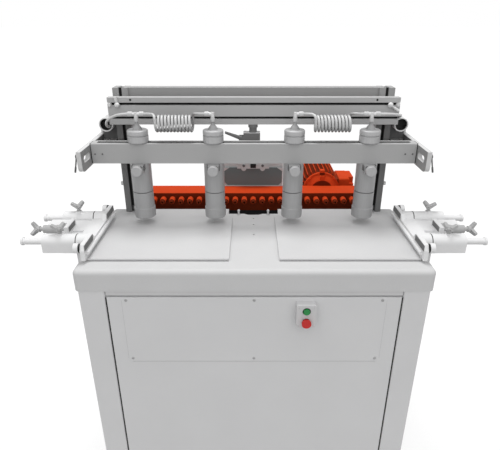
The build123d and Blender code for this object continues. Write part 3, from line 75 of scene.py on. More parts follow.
# Places where a finish changes its tone, for painted shade or painted light
FADE = 0.001
ROUND_FADE = 0.0005
# Painted shade on the gantry below the tie beam's foot
TIE_BEAM_FOOT = WORK_Z + 0.367
# Painted light and shade on the hold-downs: lighter from just under the beam's top, darker again over the
# caps' tops and bells
CAP_LIGHT_AND_SHADE = ((WORK_Z + 0.26, 1.3), (WORK_Z + 0.3024, 0.95))
# Painted shade on the hand grips under this height
GRIP_SHADE_TOP = WORK_Z + 0.2
# Painted shade on the coiled hoses, towards the back and low down
COIL_BACK, COIL_BACK_FADE = -0.100, 0.022
COIL_FOOT, COIL_FOOT_FADE = WORK_Z + 0.294, 0.025
# Painted shade on the arms' inner faces in front of the beam
EAR_INNER = 0.4895
EAR_BACK = -0.110
# Painted shade on the flanks of the motor's fins
FIN_FRONT = 0.022
FIN_EDGE_R = 0.0765

# Stretch of a metal's fine lines, small along the way that they run
UPRIGHT = (1, 1, 0.05)
LONG_UPRIGHT = (1, 1, 0.02)
SHORT_UPRIGHT = (1, 1, 0.2)
LENGTHWISE = (1, 0.05, 1)
LONG_LENGTHWISE = (1, 0.02, 1)


def colour_property(label, words, default):
    """A paint or material colour that a user can change."""
    return FloatVectorProperty(name=label, description=words, subtype="COLOR", default=default, min=0, max=1)


def length_property(label, words, default):
    """A length in metres that a user can change."""
    return FloatProperty(
        name=label, description=words, subtype="DISTANCE", unit="LENGTH", default=default, min=0
    )


class BorerColours(bpy.types.PropertyGroup):
    """Colours of the machine's paints, metals and plastics."""

    casting: colour_property("Casting paint", "Table and fence castings", (0.62, 0.62, 0.623))
    cabinet: colour_property("Cabinet paint", "Sheet metal of the base", (0.68, 0.68, 0.685))
    gantry: colour_property("Gantry paint", "Columns and tie beam", (0.33, 0.33, 0.33))
    bridge: colour_property("Bridge paint", "Hold-down beam and its arms", (0.42, 0.42, 0.42))
    presser: colour_property("Hold-down alloy", "Cylinders and their pressing feet", (0.35, 0.35, 0.353))
    grip: colour_property("Hand grips", "Wing screws, levers and knobs", (0.70, 0.70, 0.70))
    hose: colour_property("Air hose", "Coiled and plain hoses", (0.44, 0.44, 0.44))
    head: colour_property("Head paint", "Gear housing and motor", (0.64, 0.062, 0.013))
    spindle: colour_property("Spindle paint", "Spindle noses", (0.64, 0.062, 0.013))
    # Painted shade: a dark red put where shade falls on the head and motor
    shaded: colour_property("Shaded head paint", "Spindle face, ground of the fins", (0.145, 0.021, 0.007))
    steel: colour_property("Ground steel", "Rods, bearings and screws", (0.56, 0.56, 0.56))
    # The slight cyan in these two greys offsets the red light bounced from the head
    saddle: colour_property("Saddle paint", "Saddle under the head and its upright", (0.585, 0.60, 0.602))
    panel: colour_property("Dark panel", "Panel on the saddle's upright", (0.152, 0.20, 0.205))
    # Its tone also paints shade into slots, seams, gaps and linings
    recess: colour_property("Recess", "Holes, sockets and rubber faces", (0.025, 0.025, 0.025))
    start: colour_property("Start button", "Green button of the switch", (0.02, 0.25, 0.06))
    stop: colour_property("Stop button", "Red button of the switch", (0.55, 0.02, 0.015))


class BorerSizes(bpy.types.PropertyGroup):
    """Sizes of the small pieces that dress the machine."""

    edge: length_property("Edge rounding", "Width of the softened sheet and casting edges", 0.0009)
    screw: length_property("Panel screw", "Head radius of the panel screws", 0.0042)
    bolt: length_property("Beam bolt", "Head radius of the beam and head bolts", 0.0048)
    rib: length_property("Pad rib", "Pitch of the ribs on the fences' rubber faces", 0.0042)
    hose: length_property("Hose", "Outer diameter of the air hoses", 0.008)
    coil: length_property("Coil", "Radius of the coils at the middle of the hose", 0.02175)


# Materials

class Finish:
    """A material's node tree, with the few nodes that most finishes share."""

    FACTOR, FIRST, SECOND, RESULT = 0, 6, 7, 2
    EDGE_SAMPLES = 4
    EDGE_TURN = (0.80, 0.98)

    def __init__(self, name):
        self.material = bpy.data.materials.new(name)
        self.material.use_nodes = True
        tree = self.material.node_tree
        tree.nodes.clear()
        self.nodes = tree.nodes
        self.links = tree.links
        self.shader = self.nodes.new("ShaderNodeBsdfPrincipled")
        output = self.nodes.new("ShaderNodeOutputMaterial")
        self.links.new(self.shader.outputs[0], output.inputs[0])
        self.place = self.nodes.new("ShaderNodeTexCoord").outputs["Object"]

    def noise(self, scale, detail=3.0, stretch=(1, 1, 1)):
        """Cloudy variation, drawn out along an axis where stretch is small."""
        mapping = self.nodes.new("ShaderNodeMapping")
        mapping.inputs["Scale"].default_value = stretch
        self.links.new(self.place, mapping.inputs["Vector"])
        noise = self.nodes.new("ShaderNodeTexNoise")
        noise.inputs["Scale"].default_value = scale
        noise.inputs["Detail"].default_value = detail
        self.links.new(mapping.outputs[0], noise.inputs["Vector"])
        return noise.outputs["Fac"]

    def spread(self, value, low, high, start=0.3, end=0.7):
        """A value moved from one range to another."""
        ranged = self.nodes.new("ShaderNodeMapRange")
        for socket, number in zip(ranged.inputs[1:5], (start, end, low, high)):
            socket.default_value = number
        self.links.new(value, ranged.inputs[0])
        return ranged.outputs[0]

    def mix(self, factor, first, second):
        """A colour between two colours, or a colour and a socket."""
        mixed = self.nodes.new("ShaderNodeMix")
        mixed.data_type = "RGBA"
        self.links.new(factor, mixed.inputs[self.FACTOR])
        for socket, colour in ((mixed.inputs[self.FIRST], first), (mixed.inputs[self.SECOND], second)):
            if isinstance(colour, bpy.types.NodeSocket):
                self.links.new(colour, socket)
            else:
                socket.default_value = (*colour, 1)
        return mixed.outputs[self.RESULT]

    def mottle(self, factor, colour, dark, light):
        """A colour that wanders between a darker and a lighter shade of itself."""
        return self.mix(factor, shade(colour, dark), shade(colour, light))

    def past(self, place, before, after, axis="Z", width=FADE):
        """One colour up to a place along an axis and another past it."""
        parts = self.nodes.new("ShaderNodeSeparateXYZ")
        self.links.new(self.place, parts.inputs[0])
        share = self.spread(parts.outputs[axis], 0, 1, place, place + width)
        return self.mix(share, before, after)

    def beyond(self, centre, radius, before, after):
        """One colour near an axis along Y and another beyond a radius from it."""
        flat = self.nodes.new("ShaderNodeVectorMath")
        flat.operation = "MULTIPLY_ADD"
        flat.inputs[1].default_value = (1, 0, 1)
        flat.inputs[2].default_value = (-centre.x, 0, -centre.z)
        self.links.new(self.place, flat.inputs[0])
        reach = self.nodes.new("ShaderNodeVectorMath")
        reach.operation = "LENGTH"
        self.links.new(flat.outputs[0], reach.inputs[0])
        share = self.spread(reach.outputs["Value"], 0, 1, radius, radius + ROUND_FADE)
        return self.mix(share, before, after)

    def edge_highlight_mask(self, radius):
        """A mask that is 1 on outer edges and 0 on flat ground, for a painted highlight along the edges."""
        soft = self.nodes.new("ShaderNodeBevel")
        soft.samples = self.EDGE_SAMPLES
        soft.inputs["Radius"].default_value = radius
        plain = self.nodes.new("ShaderNodeNewGeometry")
        turn = self.nodes.new("ShaderNodeVectorMath")
        turn.operation = "DOT_PRODUCT"
        self.links.new(soft.outputs[0], turn.inputs[0])
        self.links.new(plain.outputs["Normal"], turn.inputs[1])
        return self.spread(turn.outputs["Value"], 1.0, 0.0, *self.EDGE_TURN)

    def bump(self, height, distance, strength):
        """Fine relief in the shading."""
        node = self.nodes.new("ShaderNodeBump")
        node.inputs["Distance"].default_value = distance
        node.inputs["Strength"].default_value = strength
        self.links.new(height, node.inputs["Height"])
        self.links.new(node.outputs[0], self.shader.inputs["Normal"])

    def colour(self, socket):
        """Send a colour to the shader."""
        self.links.new(socket, self.shader.inputs["Base Color"])

    def roughness(self, value, smooth, dull):
        """Send a roughness to the shader that wanders between two levels."""
        self.links.new(self.spread(value, smooth, dull), self.shader.inputs["Roughness"])

    def gloss(self, level):
        """Set how strongly the surface mirrors at its face."""
        self.shader.inputs["Specular IOR Level"].default_value = level

    def metal(self, level):
        """Set how metallic the surface is."""
        self.shader.inputs["Metallic"].default_value = level


def shade(colour, factor):
    """A colour made lighter or darker."""
    return tuple(min(1.0, channel * factor) for channel in colour)


def satin_paint(name, colour, rough=0.5, gloss=0.3, edge=1.1, shaded=None):
    """Sprayed enamel: faint mottling, orange peel and paler edges as a painted highlight, with a painted
    shade part where one is given.
    """
    finish = Finish(name)
    ground = finish.mottle(finish.noise(scale=7, detail=5), colour, dark=0.96, light=1.03)
    # Paler edges are a painted highlight
    edge_highlit = finish.mix(finish.edge_highlight_mask(radius=0.0014), ground, shade(colour, edge))
    finish.colour(shaded(finish, edge_highlit) if shaded else edge_highlit)
    finish.roughness(finish.noise(scale=34, detail=4), smooth=rough - 0.06, dull=rough + 0.08)
    finish.bump(finish.noise(scale=620, detail=2), distance=0.0001, strength=0.2)
    finish.gloss(gloss)
    return finish.material


def cast_paint(name, colour, rough=0.58, gloss=0.3):
    """Paint over a cast surface, which shows the sand's grain, with paler edges as a painted highlight."""
    finish = Finish(name)
    ground = finish.mottle(finish.noise(scale=9, detail=6), colour, dark=0.95, light=1.04)
    grain = finish.noise(scale=240, detail=6)
    speckled = finish.mix(finish.spread(grain, low=0.0, high=0.1), ground, shade(colour, 0.75))
    finish.colour(finish.mix(finish.edge_highlight_mask(radius=0.002), speckled, shade(colour, 1.08)))
    finish.roughness(grain, smooth=rough - 0.05, dull=rough + 0.1)
    finish.bump(grain, distance=0.00025, strength=0.25)
    finish.gloss(gloss)
    return finish.material


def anodised(name, colour, stretch, rough=0.45, metal=0.2, light_and_shade_bands=(), tones=(0.95, 1.05)):
    """Anodised alloy with faint drawing lines, in another tone over each band's height, which paints light
    and shade where bands are given.
    """
    finish = Finish(name)
    lines = finish.noise(scale=420, detail=3, stretch=stretch)
    drawn = [shade(colour, tone) for tone in tones]
    for height, factor in light_and_shade_bands:
        above = [shade(colour, tone * factor) for tone in tones]
        drawn = [finish.past(height, *pair) for pair in zip(drawn, above)]
    finish.colour(finish.mix(finish.spread(lines, 0, 1), *drawn))
    finish.roughness(lines, smooth=rough - 0.07, dull=rough + 0.08)
    finish.bump(lines, distance=0.00005, strength=0.15)
    finish.metal(metal)
    return finish.material


def ground_steel(name, colour, stretch=UPRIGHT, rough=0.32, metal=0.85):
    """Ground steel with fine lines along one way."""
    finish = Finish(name)
    lines = finish.noise(scale=700, detail=4, stretch=stretch)
    finish.colour(finish.mottle(finish.spread(lines, 0, 1), colour, dark=0.88, light=1.1))
    finish.roughness(lines, smooth=rough - 0.08, dull=rough + 0.12)
    finish.bump(lines, distance=0.00004, strength=0.2)
    finish.metal(metal)
    return finish.material


def moulded(name, colour, rough=0.5, grain=900, gloss=0.35, step=None):
    """Moulded plastic or rubber with a fine grain and paler edges as a painted highlight, darker under a
    height as painted shade where a step is given.
    """
    finish = Finish(name)
    grains = finish.noise(scale=grain, detail=2)
    cloud = finish.mottle(finish.noise(scale=12, detail=3), colour, dark=0.94, light=1.06)
    if step:
        cloud = finish.past(step, shade(colour, 0.6), cloud)
    finish.colour(finish.mix(finish.edge_highlight_mask(radius=0.001), cloud, shade(colour, 1.15)))
    finish.roughness(grains, smooth=rough - 0.05, dull=rough + 0.07)
    finish.bump(grains, distance=0.0001, strength=0.25)
    finish.gloss(gloss)
    return finish.material


def hose_skin(name, colour, gloss, coil_shade=False):
    """Smooth extruded hose with faint streaks, and painted shade low down and towards the back where it is
    asked for.
    """
    finish = Finish(name)
    skin = finish.mottle(finish.noise(scale=90, detail=4), colour, dark=0.9, light=1.1)
    if coil_shade:
        skin = finish.past(COIL_BACK, skin, shade(colour, 0.6), "Y", COIL_BACK_FADE)
        skin = finish.past(COIL_FOOT, shade(colour, 0.3), skin, "Z", COIL_FOOT_FADE)
    finish.colour(skin)
    finish.roughness(finish.noise(scale=300, detail=2), smooth=0.2, dull=0.3)
    finish.bump(finish.noise(scale=800, detail=2), distance=0.00005, strength=0.2)
    finish.gloss(gloss)
    return finish.material


def fin_shadow(colour):
    """Painted shade: a darker tone on the flanks of the motor's cooling fins."""
    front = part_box("motor_frame")[0].y + FIN_FRONT

    def shaded(finish, edge_highlit):
        flanks = finish.beyond(middle("motor_fan_cowl"), FIN_EDGE_R, colour, edge_highlit)
        return finish.past(front, edge_highlit, flanks, "Y")

    return shaded


def column_shadow(colour):
    """Painted shade: a darker tone under the tie beam."""
    return lambda finish, edge_highlit: finish.past(TIE_BEAM_FOOT, colour, edge_highlit)


def ear_shadow(colour):
    """Painted shade: a darker tone on the inner faces of the arms, in front of the beam."""

    def shaded(finish, edge_highlit):
        left = finish.past(-EAR_INNER - FADE, edge_highlit, colour, "X")
        both = finish.past(EAR_INNER, left, edge_highlit, "X")
        return finish.past(EAR_BACK, both, edge_highlit, "Y")

    return shaded


FINISHES = {}


def finish_for(slot):
    """The material of one of the record's slots, made the first time it is asked for."""
    if slot not in FINISHES:
        paint = bpy.context.scene.borer_colours
        makers = {
            "casting_grey": lambda: cast_paint("table casting paint", paint.casting),
            # The fences share the casting paint, made lighter as painted light; the conduit lips use it for
            # a painted highlight
            "fence_painted_light": lambda: cast_paint("fence casting paint", shade(paint.casting, 1.28)),
            "cabinet_grey": lambda: satin_paint("cabinet enamel", paint.cabinet, 0.52),
            "gantry_grey": lambda: satin_paint(
                "gantry enamel", paint.gantry, shaded=column_shadow(shade(paint.gantry, 0.55))
            ),
            "rail_grey": lambda: satin_paint("rail enamel", shade(paint.gantry, 1.4)),
            "bridge_grey": lambda: satin_paint("bridge enamel", paint.bridge),
            # The arms share the bridge's paint, made lighter as painted light, with painted shade on their
            # inner faces
            "arm_painted_light": lambda: satin_paint(
                "arm enamel", shade(paint.bridge, 1.5), shaded=ear_shadow(shade(paint.bridge, 0.65))
            ),
            "presser_grey": lambda: anodised(
                "hold-down alloy", paint.presser, LONG_UPRIGHT, light_and_shade_bands=CAP_LIGHT_AND_SHADE
            ),
            "knob_grey": lambda: anodised("knob alloy", shade(paint.presser, 1.2), SHORT_UPRIGHT),
            "hand_grip_grey": lambda: moulded("hand grip", paint.grip, step=GRIP_SHADE_TOP),
            "hose_grey": lambda: hose_skin("air hose", shade(paint.hose, 1.33), 0.8),
            "coil_grey": lambda: hose_skin("coiled air hose", shade(paint.hose, 1.3), 0.4, True),
            "fitting_grey": lambda: anodised(
                "plated fitting", shade(paint.steel, 1.3), LENGTHWISE, 0.3, 0.15
            ),
            "collar_grey": lambda: anodised(
                "fitting collar", shade(paint.steel, 1.03), LENGTHWISE, 0.45, 0.1
            ),
            "foot_steel": lambda: ground_steel("zinc plate", paint.steel, rough=0.4),
            "bright_steel": lambda: ground_steel("ground steel", paint.steel, LENGTHWISE),
            "head_red": lambda: satin_paint("head enamel", paint.head, 0.7, 0.05),
            "spindle_red": lambda: satin_paint("spindle enamel", paint.spindle, 0.7, 0.05),
            "motor_red": lambda: satin_paint(
                "motor enamel", paint.head, 0.7, 0.05, shaded=fin_shadow(shade(paint.shaded, 1.8))
            ),
            "head_shade": lambda: satin_paint("head face enamel", paint.shaded, 0.75, 0.03, 1.3),
            "saddle_grey": lambda: satin_paint("saddle enamel", paint.saddle),
            "cradle_dark": lambda: satin_paint("cradle enamel", shade(paint.recess, 1.6), 0.6, 0.15),
            "cylinder_alloy": lambda: anodised(
                "feed cylinder alloy", shade(paint.steel, 1.1), LONG_LENGTHWISE
            ),
            "panel_dark": lambda: moulded("dark panel", paint.panel, 0.62, 500, 0.2),
            "switch_grey": lambda: moulded("switch moulding", shade(paint.cabinet, 0.9), 0.45),
            "start_green": lambda: moulded("start button", paint.start, 0.3),
            "stop_red": lambda: moulded("stop button", paint.stop, 0.3),
            # These dark finishes paint shade into holes, slots, gaps and linings, and also colour real dark
            # parts
            "shade_and_dark_grey": lambda: moulded("dark grey and painted shade", shade(paint.recess, 6), 0.7, 500, 0.15),
            "recess": lambda: moulded("dark recess", paint.recess, 0.7, 400, 0.15),
            "bore_shade": lambda: moulded("painted bore shade", shade(paint.recess, 2), 0.7, 400, 0.1),
            "ribbed_rubber": lambda: moulded("ribbed rubber", shade(paint.recess, 9), 0.7, 600, 0.2),
        }
        FINISHES[slot] = makers[slot]()
    return FINISHES[slot]


# Places

def middle(node):
    """The middle of a node's box."""
    low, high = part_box(node)
    return (low + high) / 2


def halfway(node, axis):
    """The middle of a node's box along one axis."""
    low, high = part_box(node)
    return (getattr(low, axis) + getattr(high, axis)) / 2


def inset(low, high, axis, amount):
    """Two places along an axis, set in from both ends of a box."""
    return getattr(low, axis) + amount, getattr(high, axis) - amount


def spot(x, y, rise, side=1):
    """A point at a height over the work pads, on either side of the machine."""
    return Vector((side * x, y, WORK_Z + rise))


def facing(point, normal):
    """Placement at a point, with local Z along the normal."""
    turn = Vector(normal).to_track_quat("Z", "Y").to_matrix().to_4x4()
    return Matrix.Translation(Vector(point)) @ turn


# Profiles of turned pieces, as (radius, height), and heads of screws for a radius of 1

PAN_HEAD = ((0, 0), (1, 0), (0.96, 0.25), (0.7, 0.5), (0.45, 0.5), (0.4, 0.1), (0, 0.1))
SOCKET_HEAD = ((0, 0), (1, 0), (1, 1.105), (0.86, 1.3), (0.55, 1.3), (0.5, 0.455), (0, 0.39))
HEX_WASHER = 0.18
HEX_HEAD = ((0, 0.18), (1, 0.18), (1, 0.85), (0.85, 1.03), (0, 1.03))
HEX_SIDES = 6
TURN_STEPS = 24
RING_EDGE = 0.2
RING_STEPS = 32
ROUND_STEPS = 48


def scaled(profile, factor):
    """A profile made larger or smaller."""
    return [(radius * factor, height * factor) for radius, height in profile]


def disc(radius, tall):
    """Profile of a flat round plate."""
    return [(0, 0), (radius, 0), (radius, tall), (0, tall)]


def washer(inner, outer, tall):
    """Profile of a flat ring with its outer edge taken off."""
    edge = tall * RING_EDGE
    return [(inner, 0), (outer, 0), (outer, tall - edge), (outer - edge, tall), (inner, tall), (inner, 0)]


# Meshes

SHARP_DEG = 32
BEVEL_DEG = 50
BEVEL_STEPS = 2


def lathe(bm, profile, place, steps=TURN_STEPS):
    """Turn a (radius, height) profile about local Z."""
    rings = []
    for radius, height in profile:
        if radius == 0:
            rings.append([bm.verts.new(place @ Vector((0, 0, height)))])
            continue
        ring = []
        for step in range(steps):
            angle = 2 * math.pi * step / steps
            point = Vector((radius * math.cos(angle), radius * math.sin(angle), height))
            ring.append(bm.verts.new(place @ point))
        rings.append(ring)
    for lower, upper in zip(rings, rings[1:]):
        for step in range(steps):
            corners = [
                lower[step % len(lower)],
                lower[(step + 1) % len(lower)],
                upper[(step + 1) % len(upper)],
                upper[step % len(upper)],
            ]
            unique = list(dict.fromkeys(corners))
            if len(unique) > 2:
                bm.faces.new(unique)


def slab(bm, first, second):
    """A box between two opposite corners."""
    first, second = Vector(first), Vector(second)
    size = Matrix.Diagonal((*map(abs, second - first), 1))
    bmesh.ops.create_cube(bm, size=1, matrix=Matrix.Translation((first + second) / 2) @ size)


def strip(bm, rows):
    """Join each row of corners to the next one by four-sided faces, round the row."""
    for near, far in zip(rows, rows[1:]):
        for first in range(len(near)):
            second = (first + 1) % len(near)
            bm.faces.new((near[first], near[second], far[second], far[first]))


def soften(piece, width):
    """Small rounded edges, so that they catch the light."""
    bevel = piece.modifiers.new("edges", "BEVEL")
    bevel.width = width
    bevel.segments = BEVEL_STEPS
    bevel.limit_method = "ANGLE"
    bevel.angle_limit = math.radians(BEVEL_DEG)
    bevel.harden_normals = True


def add_piece(name, bm, body, slot, finish=None, edge=0.0):
    """Turn a mesh into a piece that rides on a body and takes a slot's finish."""
    bmesh.ops.recalc_face_normals(bm, faces=bm.faces)
    mesh = bpy.data.meshes.new(name)
    bm.to_mesh(mesh)
    bm.free()
    piece = bpy.data.objects.new(name, mesh)
    bpy.context.scene.collection.objects.link(piece)
    mesh.materials.append(finish_for(finish or slot))
    mesh.shade_smooth()
    mesh.set_sharp_from_angle(angle=math.radians(SHARP_DEG))
    if edge:
        soften(piece, edge)
    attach(piece, body)
    return piece


def add_boxes(name, corners, body, slot, finish=None, edge=0.0):
    """Boxes between pairs of corners, as one piece."""
    bm = bmesh.new()
    for first, second in corners:
        slab(bm, first, second)
    add_piece(name, bm, body, slot, finish, edge)


def add_turned(name, profile, places, body, slot, finish=None, steps=TURN_STEPS):
    """The same turned form at several places, as one piece."""
    bm = bmesh.new()
    for place in places:
        lathe(bm, profile, place, steps)
    add_piece(name, bm, body, slot, finish)


def add_bolts(name, places, radius, wide, body, slot):
    """Six-sided heads on washers, as one piece."""
    bm = bmesh.new()
    for place in places:
        lathe(bm, scaled(disc(wide, HEX_WASHER), radius), place)
        lathe(bm, scaled(HEX_HEAD, radius), place, HEX_SIDES)
    add_piece(name, bm, body, slot)


# Operators

class BORER_OT_finishes(bpy.types.Operator):
    """Give every CAD node its material and soften the edges of the larger ones"""

    bl_idname = "borer.finishes"
    bl_label = "Finishes"

    SOFT_EDGED = (
        "worktable",
        "side_brackets",
        "side_fence_left",
        "side_fence_right",
        "bridge_beam",
        "bridge_arms",
        "fence_rail",
        "gantry_frame",
        "head_housing",
        "head_saddle",
    )
    OTHER = {
        "fence_rail": "rail_grey",
        "bridge_arms": "arm_painted_light",
        "side_brackets": "fence_painted_light",
        "side_fence_left": "fence_painted_light",
        "side_fence_right": "fence_painted_light",
        "presser_knobs": "knob_grey",
        "motor_frame": "motor_red",
    }

    def execute(self, context):
        for name, node in NODES.items():
            node.data.materials.clear()
            node.data.materials.append(finish_for(self.OTHER.get(name, SLOT_OF[name])))
        for name in self.SOFT_EDGED:
            soften(NODES[name], context.scene.borer_sizes.edge)
        return {"FINISHED"}


class BORER_OT_hoses(bpy.types.Operator):
    """Coiled hoses between the hold-downs and plain hoses to the conduits"""

    bl_idname = "borer.hoses"
    bl_label = "Air hoses"

    SECTION_STEPS = 5
    PATH_STEPS = 6
    PITCH = 0.0101
    TURNS = 10.5
    POINTS_A_TURN = 14
    FIRST_TURN = 0.0345
    LEAD_IN = 0.017
    TAIL = 0.0088
    DROP = 0.0283
    SHOULDER = 0.25
    TURN_IN = 0.3
    TURN_OUT = 0.4
    COIL_LENGTH = 1.5616
    LEAD_LENGTH = 0.1892
    LEADS = {
        "left": (
            (0, 0, 0),
            (0.0295, 0, 0),
            (0.0815, 0.043, -0.03),
            (0.0875, 0.081, -0.061),
            (0.0875, 0.122, -0.061),
        ),
        "right": (
            (0, 0, 0),
            (0.0295, 0, 0),
            (0.070, 0.030, -0.009),
            (0.0845, 0.072, -0.019),
            (0.0905, 0.112, -0.0265),
            (0.0920, 0.137, -0.037),
        ),
    }

    def hose(self, name, points, diameter, replaced, length, lay, finish):
        """A round hose along a smooth path."""
        curve = bpy.data.curves.new(name, "CURVE")
        curve.dimensions = "3D"
        curve.bevel_depth = diameter / 2
        curve.bevel_resolution = self.SECTION_STEPS
        curve.use_fill_caps = True
        spline = curve.splines.new("NURBS")
        spline.points.add(len(points) - 1)
        for knot, (x, y, z) in zip(spline.points, points):
            knot.co = (x, y, z, 1)
        spline.order_u = 3
        spline.use_endpoint_u = True
        spline.resolution_u = self.PATH_STEPS
        piece = bpy.data.objects.new(name, curve)
        bpy.context.scene.collection.objects.link(piece)
        curve.materials.append(finish_for(finish))
        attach(piece, "bridge")
        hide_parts(replaced)
        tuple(points[0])

    def coil(self, start, end, y, top, radius):
        """Straight lead-in, the turns from front to bottom to back, and the way out over the top."""
        reach = radius / math.cos(math.pi / self.POINTS_A_TURN)
        first = start + self.FIRST_TURN
        last = first + self.PITCH * self.TURNS
        shoulder = top - self.SHOULDER * radius
        bend = self.TURN_IN * radius
        points = [(start, y, top), (start + self.LEAD_IN, y, top)]
        points += [(first - bend, y - bend, top), (first, y - reach, shoulder)]
        for step in range(int(self.TURNS * self.POINTS_A_TURN) + 1):
            turn = 2 * math.pi * step / self.POINTS_A_TURN
            along = first + self.PITCH * step / self.POINTS_A_TURN
            points.append((along, y - reach * math.cos(turn), top - self.DROP - reach * math.sin(turn)))
        points += [(last, y + reach, shoulder), (last + self.TURN_OUT * radius, y + bend, top)]
        return points + [(end - self.TAIL, y, top), (end, y, top)]

    def execute(self, context):
        sizes = context.scene.borer_sizes
        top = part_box("lead_hoses")[1].z - sizes.hose / 2
        y = middle("hose_fittings").y
        for hand, side in HANDS:
            node = f"coil_hose_{hand}"
            low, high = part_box(node)
            turns = self.coil(low.x, high.x, y, top, sizes.coil)
            self.hose(
                f"coiled_hose_{hand}",
                turns,
                sizes.hose,
                node,
                self.COIL_LENGTH,
                "coiled",
                "coil_grey",
            )
            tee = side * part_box("hose_fittings")[1].x
            lead = [(tee + side * out, y + back, top + rise) for out, back, rise in self.LEADS[hand]]
            self.hose(
                f"plain_hose_{hand}",
                lead,
                sizes.hose,
                "lead_hoses",
                self.LEAD_LENGTH,
                "hanging",
                "hose_grey",
            )
        return {"FINISHED"}


class BORER_OT_cabinet(bpy.types.Operator):
    """Screws of the access panel, painted shade in its seam and along the front panel's edges, switch
    fittings and lock nuts of the feet
    """

    bl_idname = "borer.cabinet"
    bl_label = "Cabinet fittings"

    SCREW_IN = 0.012
    SCREW_UP = 0.011
    SCREW_DOWN = 0.007
    SEAM = 0.0012
    FOOT_SEAM = 0.0028
    SEAM_DEEP = 0.0018
    CORNER = 0.009
    EDGE_SHADE_X = (0.4046, 0.4082)
    EDGE_SHADE_Y = (-0.0003, 0.001)
    EDGE_SHADE_Z = (0.001, -0.0005)
    PLATE_SCREW_IN = 0.009
    PLATE_SCREW_DOWN = 0.016
    PLATE_SCREW = 0.8
    LID_SCREW_IN = 0.006
    LID_SCREW_R = 0.0022
    BEZEL = (0.0094, 0.0112, 0.0007)
    FOOT_IN = 0.028
    LOCK_NUT = ((0.009, 0.026), (0.0155, 0.026), (0.0155, 0.036), (0.009, 0.036))

    def execute(self, context):
        screw = context.scene.borer_sizes.screw
        low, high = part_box("access_panel")
        left, right = inset(low, high, "x", self.SCREW_IN)
        heights = (low.z + self.SCREW_UP, high.z - self.SCREW_DOWN)
        places = [facing((x, low.y, z), FRONT) for x in (left, 0.0, right) for z in heights]
        head = scaled(PAN_HEAD, screw)
        add_turned("access_panel_screws", head, places, "base", "foot_steel", "bridge_grey")
        self.seams(low, high)
        self.switch(low.y, screw)
        low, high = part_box("levelling_feet")
        across, deep = (inset(low, high, axis, self.FOOT_IN) for axis in "xy")
        places = [facing((x, y, 0), UP) for x in across for y in deep]
        add_turned("foot_lock_nuts", self.LOCK_NUT, places, "base", "foot_steel", steps=HEX_SIDES)
        return {"FINISHED"}

    def seams(self, low, high):
        """Painted shade: a dark line round the access panel and dark strips along the front panel's upright
        edges.
        """
        face = low.y + self.SEAM_DEEP
        foot, head = inset(low, high, "z", self.CORNER)
        lines = [((x, face, foot), (x + self.SEAM, high.y, head)) for x in (low.x - self.SEAM, high.x)]
        left, right = inset(low, high, "x", self.CORNER)
        lines.append(((left, face, low.z - self.FOOT_SEAM), (right, high.y, low.z)))
        add_boxes("access_panel_seam_shade", lines, "base", "cabinet_grey", "bridge_grey")
        low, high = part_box("front_panel")
        (inner, outer), (front, back), (foot, head) = self.EDGE_SHADE_X, self.EDGE_SHADE_Y, self.EDGE_SHADE_Z
        edge_shades = [
            ((side * inner, low.y + front, low.z + foot), (side * outer, low.y + back, high.z + head))
            for side in SIDES
        ]
        add_boxes("front_panel_edge_shade", edge_shades, "base", "cabinet_grey", "recess")

    def switch(self, panel, screw):
        """Screws under the switch and on its lid, and the bezels of its buttons."""
        low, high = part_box("switch_box")
        z = low.z - self.PLATE_SCREW_DOWN
        places = [facing((x, panel, z), FRONT) for x in inset(low, high, "x", self.PLATE_SCREW_IN)]
        head = scaled(PAN_HEAD, screw * self.PLATE_SCREW)
        add_turned("switch_plate_screws", head, places, "base", "foot_steel")
        places = [
            facing((x, low.y, z), FRONT)
            for x in inset(low, high, "x", self.LID_SCREW_IN)
            for z in inset(low, high, "z", self.LID_SCREW_IN)
        ]
        add_turned("switch_lid_screws", scaled(PAN_HEAD, self.LID_SCREW_R), places, "base", "foot_steel")
        buttons = [middle(button) for button in ("start_button", "stop_button")]
        places = [facing((button.x, low.y, button.z), FRONT) for button in buttons]
        add_turned("button_bezels", washer(*self.BEZEL), places, "base", "switch_grey", "recess", RING_STEPS)


